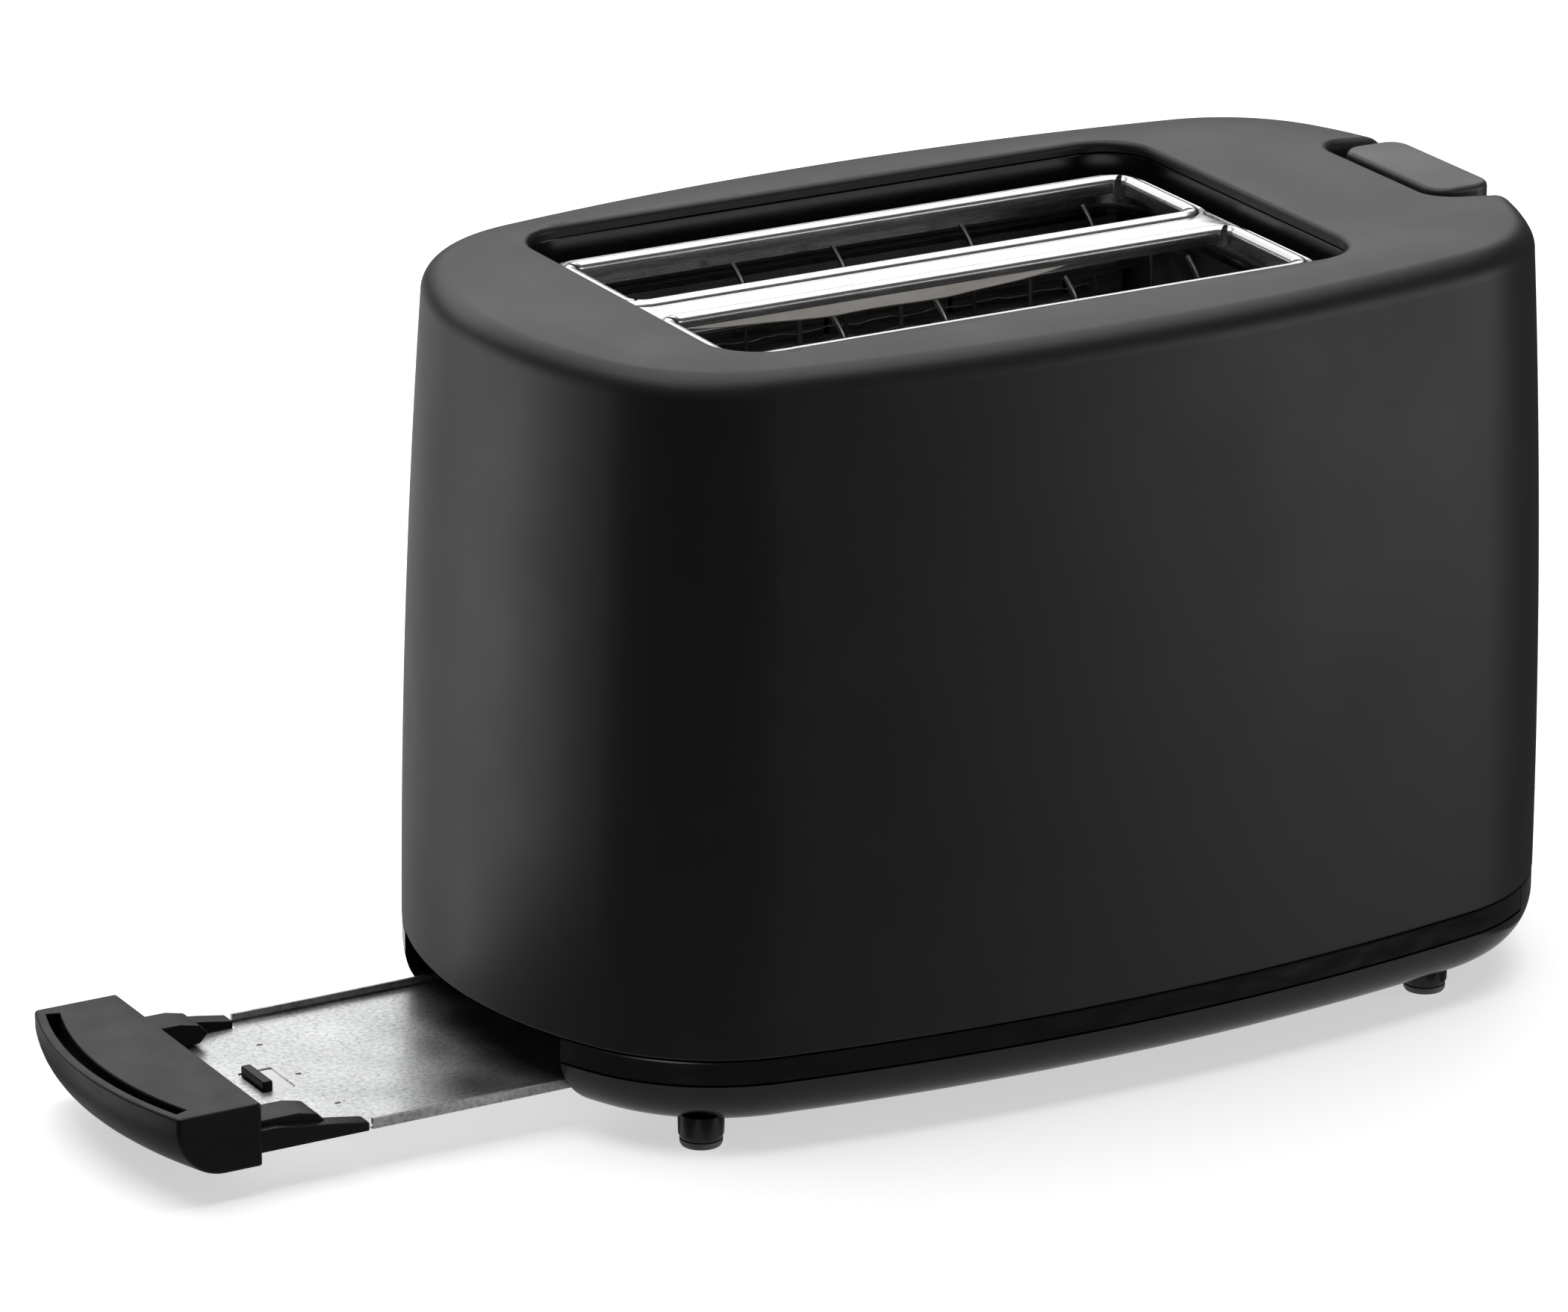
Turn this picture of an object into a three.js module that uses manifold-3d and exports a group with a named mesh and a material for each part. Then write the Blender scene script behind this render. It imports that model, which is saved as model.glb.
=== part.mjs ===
// Two-slice pop-up toaster with its crumb tray drawn part of the way out, in millimetres.
// X runs along the bread slots towards the lever, Y runs across them and Z is up from the table.
// Positions along X are counted from the middle of the slots. At the end the whole group is moved
// along X, so that the origin lies on the table under the middle of the object's box.

import * as THREE from 'three';
import { mergeVertices } from 'three/addons/utils/BufferGeometryUtils.js';
import Module from 'manifold-3d';

const wasm = await Module();
wasm.setup();

// ---- Driving dimensions ---------------------------------------------------------------------

const GAP = 0.3; // between parts that lie against each other
const REACH = 300; // length of a cutter that passes right through

// Body outline, seen from above: side, end and corner arcs that meet tangentially.
const BODY_LENGTH = 261.6;
const BODY_WIDTH = 156;
const SIDE_BOW = 508;
const END_BOW = 105;
const CORNER_RADIUS = 45;
const BODY_CENTRE = 10.3;
const BODY_LEAN = 0.011; // shift of the outline's centre for each millimetre of height
const ARC_STEPS = { end: 3, corner: 6, side: 3 };

// Heights of the body.
const FOOT_PAD = 1.6;
const BASE_Z = 5.1;
const PAN_SEAM_Z = 16.3;
const SEAM_Z = 22.3;
const SHOULDER_Z = 162.3;
const TOP_Z = 173.8;

// Housing.
const WALL = 2.4;
const SEAM_INSET = 0.5;
const TAPER = 4.7; // how far the wall leans in between the seam and the shoulder
const EDGE_RADIUS = TOP_Z - SHOULDER_Z;
const OPENING = { left: -78, right: 79, half: 51, radius: 12 };
const BAY = { inner: 115, half: 24.5, radius: 6, wall: 2.2 };
const ARM_SLOT = { half: 2, reach: 5 };

// Base.
const BASE_RADIUS = 12.5;
const BASE_INSET = 0.6;
const BASE_WALL = 2;
const LIP_RISE = 5;
const PAN_STEP_X = 117.3; // beyond this the bottom pan rises to the housing
const TRAY_MOUTH = { back: -92.2, half: 36.6 };
const FOOT = { x: 92.4, y: 56, centre: 2.9, radius: 5 };
const BOSS = { x: 77, y: 42.5, radius: 4.5 };
const TRAY_RIB = { y: 28, half: 1, left: -90, right: 76 };
const SCREW = { head: 3.2, shank: 1.4, low: 1.4, seat: 3.8, sink: 4 };
const INLET = { angle: 0.29, z: 15.2, hole: 4.5, body: 4.2, flange: 5.4, bore: 3.2, depth: 9, stand: 2.3 };

// Bread slots and the steel around them.
const SLOT = { length: 140, width: 30, y: 22.5, radius: 3 };
const PLATE_Z = 167.7;
const PLATE = { length: 150, width: 88, thickness: 0.9, flange: 6.6, radius: 8 };
const SHEET = 0.8;
const BEAD = { width: 2.4, rise: 0.9, depth: 8.5 };
const LINER = { floor: 159, thickness: 1.4, rim: 4, rimDepth: 1.2 };
const LINER_HOLE = { x: 72.6, y: 41.4, radius: 5 };

// Oven.
const END_PLATE_X = 76;
const END_PLATE_HALF = 46;
const OVEN_TOP = 157;
const REFLECTOR = { y: 47, half: 0.3, length: 150, bottom: 24 };
const BOARD = { length: 146, bottom: 38, top: 154, y: 41.2, thickness: 0.8 };
const RIBBON = { runs: 11, half: 64, bottom: 46, pitch: 9.6, width: 1.6, thickness: 0.35 };
const GUIDE = { offset: 12, hinge: 41, radius: 0.8, pivot: 1.1, straight: 155, top: 164.6, flare: 1.7 };
const GUIDE_WIRES = [-61, -28, -2.5, 30.5, 62];
const GUIDE_RAIL = { left: -66, right: 67, drop: 5 };
const GUIDE_Y = [-1, 1].flatMap((slot) => [-1, 1].map((side) => slot * SLOT.y + side * GUIDE.offset));
const LIP_HALF = 9;

// Lever, carriage and racks, all at the top of their travel.
const TRAVEL = 75;
const KNOB = { left: 117, right: 133, half: 20, top: 173.6, height: 12, radius: 5, bevel: 1.2 };
const BAY_FLOOR = KNOB.top - KNOB.height - TRAVEL - 1.2;
const ARM = { low: 163.8, high: 170.8, half: 0.75, end: 125 };
const CARRIAGE = { x: 87.6, bottom: 110, top: 142, half: 30, thickness: 1.2 };
const EAR = { reach: 98.5, inner: 9, outer: 19 };
const ROD = { x: 93.5, y: 14, radius: 2, bottom: 19, top: 156 };
const SHELF = { low: 21, high: 153, half: 20, thickness: 1.2 };
const RACK = { bottom: 114, top: 121, left: -68, half: 6, fingers: [-60, -30, 0, 30, 60] };
const RACK_TAB = { bottom: 110.5, half: 4, thickness: 1.2 };
const RACK_SLOT = { half: 2.5, play: 3 };
const SPRING = { radius: 3.4, wire: 0.45, turns: 9 };
const ARMATURE = { left: 88.5, right: 98, half: 10, drop: 1.7, gap: 0.2 };
const MAGNET = { x: 93.5, reach: 6, half: 9.6, bottom: 23.6, base: 26, top: 32.6, pole: 2.9 };
const COIL = { inner: 3.2, outer: 7.4, bottom: 26.3, top: 31.8 };

// Controls on the lever end.
const DIAL = { z: 46, radius: 12.5, back: 136.5, front: 149.6, bore: 3.3 };
const BUTTON = { z: 70, pitch: 20, width: 13, height: 7, stand: 1.8, play: 0.4 };
const BUTTON_Y = [-BUTTON.pitch, 0, BUTTON.pitch];
const BOARD_X = 120;
const BOARD_THICKNESS = 1.6;

// Crumb tray and its handle, where the drawn-out tray stands.
const TRAY = { front: -157.7, back: -18.7, half: 34.75, floor: 9.4, wall: 2.4 };
const TRAY_SHEET = 0.5;
const TRAY_HEM = 0.9;
const TONGUE = { front: -190, half: 30.6 };
const WINDOW = { front: -169.5, back: -161.5, half: 6.3 };
const HANDLE = { back: -184, ends: -203.5, middle: -210, half: 36, bottom: 6.8, top: 21.1 };
const HANDLE_DROP = HANDLE.ends - HANDLE.middle;
const HANDLE_BOW = (HANDLE.half ** 2 + HANDLE_DROP ** 2) / (2 * HANDLE_DROP);
const GROOVE = { margin: 2.8, near: 2.2, far: 5.2, depth: 5 };
const FASCIA = { rim: 2.5, chamfer: 0.6, depth: 10 };
const RAIL = { inner: 31, outer: 35.4, end: -158.4 };
const HOOK = { inner: 24.5, outer: 33, front: -169.5, tip: -167.5 };
const LATCH = { half: 5.6, front: -169, back: -166.6 };

// ---- Materials ------------------------------------------------------------------------------

function finish(color, roughness, metalness) {
  return () => new THREE.MeshStandardMaterial({ color, roughness, metalness });
}

const MATTE_BLACK = finish(0x2b2b2b, 0.6, 0);
const GLOSS_BLACK = finish(0x0c0c0c, 0.15, 0);
const DARK_GREY = finish(0x3a3a3c, 0.5, 0);
const RUBBER = finish(0x77777a, 0.8, 0);
const STAINLESS = finish(0xd6d6d6, 0.25, 1);
const GALVANISED = finish(0xb9bcbe, 0.4, 1);
const DARK_STEEL = finish(0x55524e, 0.5, 1);
const MICA = finish(0x35312c, 0.7, 0);
const NICHROME = finish(0x6a625a, 0.45, 1);
const COPPER = finish(0xb87333, 0.35, 1);
const BOARD_GREEN = finish(0x2c5a3a, 0.6, 0);
const NYLON = finish(0xe4e2da, 0.5, 0);

// ---- Solids ---------------------------------------------------------------------------------

function solid(geometry) {
  const bare = geometry.clone();
  bare.deleteAttribute('normal');
  bare.deleteAttribute('uv');
  const merged = mergeVertices(bare, 1e-4);
  return new wasm.Manifold(new wasm.Mesh({
    numProp: 3,
    vertProperties: new Float32Array(merged.attributes.position.array),
    triVerts: new Uint32Array(merged.index.array),
  }));
}

function geometryOf(manifold) {
  const mesh = manifold.getMesh();
  const geometry = new THREE.BufferGeometry();
  geometry.setAttribute('position', new THREE.BufferAttribute(new Float32Array(mesh.vertProperties), 3));
  geometry.setIndex(new THREE.BufferAttribute(new Uint32Array(mesh.triVerts), 1));
  geometry.computeVertexNormals();
  return geometry;
}

function join(pieces) {
  return geometryOf(pieces.map(solid).reduce((sum, piece) => sum.add(piece)));
}

function cut(body, cutters) {
  return geometryOf(cutters.map(solid).reduce((rest, cutter) => rest.subtract(cutter), solid(body)));
}

function box(x0, x1, y0, y1, z0, z1) {
  const geometry = new THREE.BoxGeometry(x1 - x0, y1 - y0, z1 - z0);
  return geometry.translate((x0 + x1) / 2, (y0 + y1) / 2, (z0 + z1) / 2);
}

function roundedRect(x0, x1, y0, y1, radius) {
  const shape = new THREE.Shape();
  shape.moveTo(x0 + radius, y0);
  shape.lineTo(x1 - radius, y0);
  shape.absarc(x1 - radius, y0 + radius, radius, -Math.PI / 2, 0, false);
  shape.lineTo(x1, y1 - radius);
  shape.absarc(x1 - radius, y1 - radius, radius, 0, Math.PI / 2, false);
  shape.lineTo(x0 + radius, y1);
  shape.absarc(x0 + radius, y1 - radius, radius, Math.PI / 2, Math.PI, false);
  shape.lineTo(x0, y0 + radius);
  shape.absarc(x0 + radius, y0 + radius, radius, Math.PI, 1.5 * Math.PI, false);
  return shape;
}

// A flat outline in X and Y, given thickness from z0 to z1.
function slab(shape, z0, z1, curveSegments = 4) {
  const geometry = new THREE.ExtrudeGeometry(shape, { depth: z1 - z0, bevelEnabled: false, curveSegments });
  return geometry.translate(0, 0, z0);
}

function rectSlab(x0, x1, y0, y1, radius, z0, z1, curveSegments = 4) {
  return slab(roundedRect(x0, x1, y0, y1, radius), z0, z1, curveSegments);
}

// A flat outline in X and Z, given thickness from y0 to y1.
function sideSlab(points, y0, y1) {
  const shape = new THREE.Shape(points.map(([x, z]) => new THREE.Vector2(x, z)));
  const geometry = new THREE.ExtrudeGeometry(shape, { depth: y1 - y0, bevelEnabled: false });
  return geometry.rotateX(Math.PI / 2).translate(0, y1, 0);
}

function pillar(x, y, radius, z0, z1, sides = 16) {
  const geometry = new THREE.CylinderGeometry(radius, radius, z1 - z0, sides);
  return geometry.rotateX(Math.PI / 2).translate(x, y, (z0 + z1) / 2);
}

function shaftX(y, z, radius, x0, x1, sides = 16) {
  const geometry = new THREE.CylinderGeometry(radius, radius, x1 - x0, sides);
  return geometry.rotateZ(-Math.PI / 2).translate((x0 + x1) / 2, y, z);
}

function wire(path, radius, sides, steps) {
  const section = new THREE.Shape();
  for (let i = 0; i < sides; i += 1) {
    const angle = (i / sides) * 2 * Math.PI;
    const point = [radius * Math.cos(angle), radius * Math.sin(angle)];
    if (i === 0) section.moveTo(...point);
    else section.lineTo(...point);
  }
  section.closePath();
  return new THREE.ExtrudeGeometry(section, { steps, extrudePath: path });
}

// Skins a closed body over rings with equally many points. flatten gives a ring's point in its
// own plane, in which the ring runs counter-clockwise as seen from the last ring.
function loft(rings, flatten) {
  const count = rings[0].length;
  const faces = [];
  for (let i = 0; i + 1 < rings.length; i += 1) {
    for (let j = 0; j < count; j += 1) {
      const a = i * count + j;
      const b = i * count + ((j + 1) % count);
      faces.push(a, b, b + count, a, b + count, a + count);
    }
  }
  const last = (rings.length - 1) * count;
  THREE.ShapeUtils.triangulateShape(rings[0].map(flatten), []).forEach(([a, b, c]) => {
    faces.push(a, c, b, last + a, last + b, last + c);
  });
  const geometry = new THREE.BufferGeometry();
  const positions = rings.flat().flatMap((point) => point.toArray());
  geometry.setAttribute('position', new THREE.Float32BufferAttribute(positions, 3));
  geometry.setIndex(faces);
  return geometry;
}

// ---- Body outline ---------------------------------------------------------------------------

// Centres of the end, corner and side arcs in the quarter towards +X and +Y, counted from the
// outline's middle. The corner circle touches the two larger ones from inside.
function arcCentres() {
  const end = new THREE.Vector2(BODY_LENGTH / 2 - END_BOW, 0);
  const side = new THREE.Vector2(0, BODY_WIDTH / 2 - SIDE_BOW);
  const apart = end.distanceTo(side);
  const fromSide = SIDE_BOW - CORNER_RADIUS;
  const fromEnd = END_BOW - CORNER_RADIUS;
  const along = (fromSide ** 2 - fromEnd ** 2 + apart ** 2) / (2 * apart);
  const across = Math.sqrt(fromSide ** 2 - along ** 2);
  const direction = end.clone().sub(side).divideScalar(apart);
  const corner = side.clone().addScaledVector(direction, along);
  corner.add(new THREE.Vector2(direction.y, -direction.x).multiplyScalar(across));
  return { end, side, corner };
}

const CENTRES = arcCentres();
const END_ANGLE = Math.atan2(CENTRES.corner.y - CENTRES.end.y, CENTRES.corner.x - CENTRES.end.x);
const SIDE_ANGLE = Math.atan2(CENTRES.corner.y - CENTRES.side.y, CENTRES.corner.x - CENTRES.side.x);

function arcPoints(centre, radius, from, to, steps) {
  return Array.from({ length: steps }, (_, i) => {
    const angle = THREE.MathUtils.lerp(from, to, i / steps);
    return new THREE.Vector2(centre.x + radius * Math.cos(angle), centre.y + radius * Math.sin(angle));
  });
}

// The outline moved inwards by inset, at height z.
function bodyRing(inset, z) {
  const quarter = [
    ...arcPoints(CENTRES.end, END_BOW - inset, 0, END_ANGLE, ARC_STEPS.end),
    ...arcPoints(CENTRES.corner, CORNER_RADIUS - inset, END_ANGLE, SIDE_ANGLE, ARC_STEPS.corner),
    ...arcPoints(CENTRES.side, SIDE_BOW - inset, SIDE_ANGLE, Math.PI / 2, ARC_STEPS.side),
    new THREE.Vector2(0, BODY_WIDTH / 2 - inset),
  ];
  const mirrored = quarter.slice(0, -1).reverse().map((p) => new THREE.Vector2(-p.x, p.y));
  const upper = [...quarter, ...mirrored];
  const lower = upper.slice(1, -1).reverse().map((p) => new THREE.Vector2(p.x, -p.y));
  const centre = BODY_CENTRE + BODY_LEAN * Math.max(0, z - SEAM_Z);
  return [...upper, ...lower].map((p) => new THREE.Vector3(centre + p.x, p.y, z));
}

function stack(levels) {
  return loft(levels.map(([inset, z]) => bodyRing(inset, z)), (p) => new THREE.Vector2(p.x, p.y));
}

function wallInset(z) {
  return SEAM_INSET + TAPER * ((z - SEAM_Z) / (SHOULDER_Z - SEAM_Z)) ** 2;
}

// The housing's outer shape, or its hollow when offset is the wall's thickness.
function housingBlank(offset, bottom) {
  const wallSteps = offset > 0 ? 3 : 5;
  const edgeSteps = offset > 0 ? 2 : 4;
  const levels = [[SEAM_INSET + offset, bottom]];
  for (let i = bottom < SEAM_Z ? 0 : 1; i <= wallSteps; i += 1) {
    const z = THREE.MathUtils.lerp(SEAM_Z, SHOULDER_Z, i / wallSteps);
    levels.push([wallInset(z) + offset, z]);
  }
  const radius = EDGE_RADIUS - offset;
  const pivot = wallInset(SHOULDER_Z) + EDGE_RADIUS;
  for (let i = 1; i <= edgeSteps; i += 1) {
    const angle = ((i / edgeSteps) * Math.PI) / 2;
    levels.push([pivot - radius * Math.cos(angle), SHOULDER_Z + radius * Math.sin(angle)]);
  }
  return stack(levels);
}

// The base's outer shape up to a height, or its hollow when offset is the wall's thickness.
function baseBlank(offset, top) {
  const steps = offset > 0 ? 2 : 4;
  const radius = BASE_RADIUS - offset;
  const levels = [];
  for (let i = 0; i <= steps; i += 1) {
    const angle = ((i / steps - 1) * Math.PI) / 2;
    const inset = BASE_INSET + BASE_RADIUS - radius * Math.cos(angle);
    levels.push([inset, BASE_Z + BASE_RADIUS + radius * Math.sin(angle)]);
  }
  if (top > BASE_Z + BASE_RADIUS) levels.push([BASE_INSET + offset, top]);
  return stack(levels);
}

// ---- Housing --------------------------------------------------------------------------------

function bay(wall) {
  return rectSlab(
    BAY.inner - wall, REACH, -BAY.half - wall, BAY.half + wall, BAY.radius,
    BAY_FLOOR - wall, REACH, 3,
  );
}

function buttonHole(y, clearance, x0, x1) {
  const halfWidth = BUTTON.width / 2 + clearance;
  const halfHeight = BUTTON.height / 2 + clearance;
  return box(x0, x1, y - halfWidth, y + halfWidth, BUTTON.z - halfHeight, BUTTON.z + halfHeight);
}

function housingShell() {
  const hollow = cut(housingBlank(WALL, SEAM_Z - 1), [bay(BAY.wall)]);
  const { left, right, half, radius } = OPENING;
  const armSlot = box(
    BAY.inner - ARM_SLOT.reach, BAY.inner + ARM_SLOT.reach, -ARM_SLOT.half, ARM_SLOT.half,
    ARM.low - TRAVEL - 1, ARM.high + GAP,
  );
  return cut(housingBlank(0, SEAM_Z), [
    hollow,
    bay(0),
    rectSlab(left, right, -half, half, radius, SHOULDER_Z, REACH),
    armSlot,
    shaftX(0, DIAL.z, DIAL.radius + 2 * BUTTON.play, BOARD_X + 10, REACH, 24),
    ...BUTTON_Y.map((y) => buttonHole(y, BUTTON.play, BOARD_X + 10, REACH)),
  ]);
}

// The deep frame between the opening's edge and the slotted plate.
function trenchLiner() {
  const { floor, thickness, rim, rimDepth } = LINER;
  const { left, right, half, radius } = OPENING;
  const top = TOP_Z - WALL - GAP;
  const around = (grow, z0, z1) => (
    rectSlab(left - grow, right + grow, -half - grow, half + grow, radius + grow, z0, z1)
  );
  const hole = rectSlab(
    -LINER_HOLE.x, LINER_HOLE.x, -LINER_HOLE.y, LINER_HOLE.y, LINER_HOLE.radius, 0, REACH,
  );
  const walls = join([around(rim, top - rimDepth, top), around(thickness, floor, top)]);
  return cut(walls, [around(0, floor + thickness, REACH), hole]);
}

function slotShape(y, grow) {
  const halfLength = SLOT.length / 2 + grow;
  const halfWidth = SLOT.width / 2 + grow;
  return roundedRect(-halfLength, halfLength, y - halfWidth, y + halfWidth, SLOT.radius + grow);
}

// The slotted steel plate, with its outer flange and a raised bead and collar round each slot.
function topPlate() {
  const halfLength = PLATE.length / 2;
  const halfWidth = PLATE.width / 2;
  const outline = roundedRect(-halfLength, halfLength, -halfWidth, halfWidth, PLATE.radius);
  const insideShape = roundedRect(
    -halfLength + SHEET, halfLength - SHEET, -halfWidth + SHEET, halfWidth - SHEET, PLATE.radius - SHEET,
  );
  const under = PLATE_Z - PLATE.thickness;
  const blank = slab(outline, PLATE_Z - PLATE.flange, PLATE_Z);
  const dish = cut(blank, [slab(insideShape, PLATE_Z - PLATE.flange - 1, under)]);
  const collars = [-SLOT.y, SLOT.y].flatMap((y) => [
    slab(slotShape(y, BEAD.width), under, PLATE_Z + BEAD.rise, 2),
    slab(slotShape(y, SHEET), PLATE_Z - BEAD.depth, PLATE_Z, 2),
  ]);
  const holes = [-SLOT.y, SLOT.y].map((y) => slab(slotShape(y, 0), 0, TOP_Z, 2));
  return cut(join([dish, ...collars]), holes);
}

// ---- Base -----------------------------------------------------------------------------------

function trayMouth(z0, z1) {
  return box(-REACH, TRAY_MOUTH.back, -TRAY_MOUTH.half, TRAY_MOUTH.half, z0, z1);
}

// The band under the housing, with the lip that locates the housing. It is open at the lever end.
function baseSkirt() {
  const bottom = PAN_SEAM_Z + GAP;
  const ledge = SEAM_Z - GAP;
  const lipInset = SEAM_INSET + WALL + GAP;
  const innerInset = lipInset + BASE_WALL;
  const band = stack([[BASE_INSET, bottom], [BASE_INSET, ledge]]);
  const lip = stack([[lipInset, bottom], [lipInset, SEAM_Z + LIP_RISE]]);
  const hollow = stack([[innerInset, bottom - 1], [innerInset, SEAM_Z + LIP_RISE + 1]]);
  return cut(join([band, lip]), [
    hollow,
    trayMouth(bottom - 1, ledge),
    box(PAN_STEP_X - GAP, REACH, -REACH, REACH, bottom - 1, ledge),
  ]);
}

// A cylinder along the wall's outward direction at the cord inlet.
function alongInlet(geometry) {
  return geometry.rotateZ(INLET.angle).translate(BODY_CENTRE + CENTRES.end.x, 0, 0);
}

function fourPlaces(centre, { x, y }) {
  return [[-1, -1], [1, -1], [-1, 1], [1, 1]].map(([sx, sy]) => [centre + sx * x, sy * y]);
}

const FOOT_PLACES = fourPlaces(FOOT.centre, FOOT);
const BOSS_PLACES = fourPlaces(0, BOSS);

// The boat-shaped bottom pan, with foot pegs, screw bosses and the ribs that the tray slides on.
function bottomPan() {
  const floor = BASE_Z + BASE_WALL;
  const rise = SEAM_Z - GAP;
  const hollow = baseBlank(BASE_WALL, rise + 1);
  const upper = box(-REACH, PAN_STEP_X, -REACH, REACH, PAN_SEAM_Z, REACH);
  const shell = cut(baseBlank(0, rise), [hollow, upper]);
  const pegs = FOOT_PLACES.map(([x, y]) => pillar(x, y, FOOT.radius, FOOT_PAD + 0.1, floor + 1, 12));
  const bosses = BOSS_PLACES.map(([x, y]) => pillar(x, y, BOSS.radius, BASE_Z + 1, PAN_SEAM_Z, 8));
  const ribs = [-TRAY_RIB.y, TRAY_RIB.y].map((y) => (
    box(TRAY_RIB.left, TRAY_RIB.right, y - TRAY_RIB.half, y + TRAY_RIB.half, floor - 1, TRAY.floor - GAP)
  ));
  const recesses = BOSS_PLACES.flatMap(([x, y]) => [
    pillar(x, y, SCREW.head + GAP, 0, BASE_Z + SCREW.sink, 8),
    pillar(x, y, SCREW.shank + GAP, 0, REACH, 6),
  ]);
  const inlet = alongInlet(shaftX(0, INLET.z, INLET.hole, 70, 140, 16));
  return cut(join([shell, ...pegs, ...bosses, ...ribs]), [trayMouth(0, rise + 1), ...recesses, inlet]);
}

function footPad() {
  const r = FOOT.radius - 0.3;
  const profile = [[0, 0], [r - 0.4, 0], [r, 0.4], [r, FOOT_PAD], [0, FOOT_PAD]];
  const points = profile.map(([x, y]) => new THREE.Vector2(x, y));
  return new THREE.LatheGeometry(points, 12).rotateX(Math.PI / 2);
}

function panScrew() {
  return join([
    pillar(0, 0, SCREW.head, BASE_Z + SCREW.low, BASE_Z + SCREW.seat, 8),
    pillar(0, 0, SCREW.shank, BASE_Z + SCREW.seat - GAP, PAN_SEAM_Z - 2 * GAP, 6),
  ]);
}

function cordInlet() {
  const face = END_BOW - BASE_INSET;
  const tube = join([
    shaftX(0, INLET.z, INLET.body, face - INLET.depth, face + 1, 16),
    shaftX(0, INLET.z, INLET.flange, face + 0.5, face + INLET.stand, 16),
  ]);
  return alongInlet(cut(tube, [shaftX(0, INLET.z, INLET.bore, face - 20, face + 20, 16)]));
}

// ---- Oven -----------------------------------------------------------------------------------

function pivotHoles(x) {
  return GUIDE_Y.map((y) => shaftX(y, GUIDE.hinge, GUIDE.pivot + 0.4, x - 5, x + 5, 8));
}

function leftEndPlate() {
  const outer = -END_PLATE_X - SHEET;
  const panel = box(outer, -END_PLATE_X, -END_PLATE_HALF, END_PLATE_HALF, PAN_SEAM_Z + GAP, OVEN_TOP);
  return cut(panel, pivotHoles(-END_PLATE_X));
}

// The end plate at the lever, with slots for the racks and two shelves that hold the guide rod.
function leverEndPlate() {
  const outer = END_PLATE_X + SHEET;
  const panel = box(END_PLATE_X, outer, -END_PLATE_HALF, END_PLATE_HALF, PAN_SEAM_Z + GAP, OVEN_TOP);
  const shelves = [SHELF.low, SHELF.high].map((z) => (
    box(END_PLATE_X, EAR.reach + 1, -SHELF.half, SHELF.half, z, z + SHELF.thickness)
  ));
  const { half, play } = RACK_SLOT;
  const rackSlots = [-SLOT.y, SLOT.y].map((y) => (
    box(END_PLATE_X - 1, outer + 1, y - half, y + half, RACK.bottom - TRAVEL - play, RACK.top + play)
  ));
  const rodHole = pillar(ROD.x, ROD.y, ROD.radius + GAP, 0, REACH, 12);
  return cut(join([panel, ...shelves]), [...rackSlots, ...pivotHoles(END_PLATE_X), rodHole]);
}

function reflector(side) {
  const { half, length, bottom } = REFLECTOR;
  const y = side * REFLECTOR.y;
  return box(-length / 2, length / 2, y - half, y + half, bottom, OVEN_TOP);
}

function micaBoard(y) {
  const half = BOARD.length / 2;
  return box(-half, half, y - BOARD.thickness / 2, y + BOARD.thickness / 2, BOARD.bottom, BOARD.top);
}

// A flat heating ribbon that runs to and fro up one face of a board.
function heaterRibbon(y0, y1) {
  const { runs, half, bottom, pitch, width } = RIBBON;
  const pieces = [];
  for (let i = 0; i < runs; i += 1) {
    const z = bottom + i * pitch;
    pieces.push(box(-half, half, y0, y1, z, z + width));
    const x = i % 2 === 0 ? half - width : -half;
    if (i + 1 < runs) pieces.push(box(x, x + width, y0, y1, z, z + pitch + width));
  }
  return join(pieces);
}

// One wire cage beside a slot. Its bottom wire is the pivot and its top ends bend outwards.
function breadGuide(y, outward) {
  const pivotReach = END_PLATE_X + SHEET + 1.5;
  const wires = GUIDE_WIRES.map((x) => {
    const foot = new THREE.Vector3(x, y, GUIDE.hinge);
    const bend = new THREE.Vector3(x, y, GUIDE.straight);
    const tip = new THREE.Vector3(x, y + outward * GUIDE.flare, GUIDE.top);
    return [
      wire(new THREE.LineCurve3(foot, bend), GUIDE.radius, 5, 1),
      wire(new THREE.LineCurve3(bend.clone().setZ(bend.z - GUIDE.radius), tip), GUIDE.radius, 5, 1),
    ];
  });
  const rails = [
    shaftX(y, GUIDE.hinge, GUIDE.pivot, -pivotReach, pivotReach, 6),
    shaftX(y, GUIDE.straight - GUIDE_RAIL.drop, GUIDE.radius, GUIDE_RAIL.left, GUIDE_RAIL.right, 5),
  ];
  return join([...rails, ...wires.flat()]);
}

// A bent steel lip at the lever end of a slot.
function slotEndGuide(y) {
  const x = END_PLATE_X - GAP;
  const outline = [
    [x - 0.8, 126], [x, 126], [x, 150], [x - 1.6, 156], [x - 5.2, 158.4], [x - 5.4, 157.6],
    [x - 2.2, 155.4], [x - 0.8, 149.8],
  ];
  return sideSlab(outline, y - LIP_HALF, y + LIP_HALF);
}

// ---- Lever, carriage and racks --------------------------------------------------------------

function leverArmPoints() {
  const behind = CARRIAGE.x + CARRIAGE.thickness + GAP;
  return [
    [behind, 116], [100, 116], [110, 150], [110, ARM.low], [ARM.end, ARM.low], [ARM.end, ARM.high],
    [102, ARM.high], [102, 152], [94, 138], [behind, 138],
  ];
}

function leverArm() {
  return sideSlab(leverArmPoints(), -ARM.half, ARM.half);
}

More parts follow.
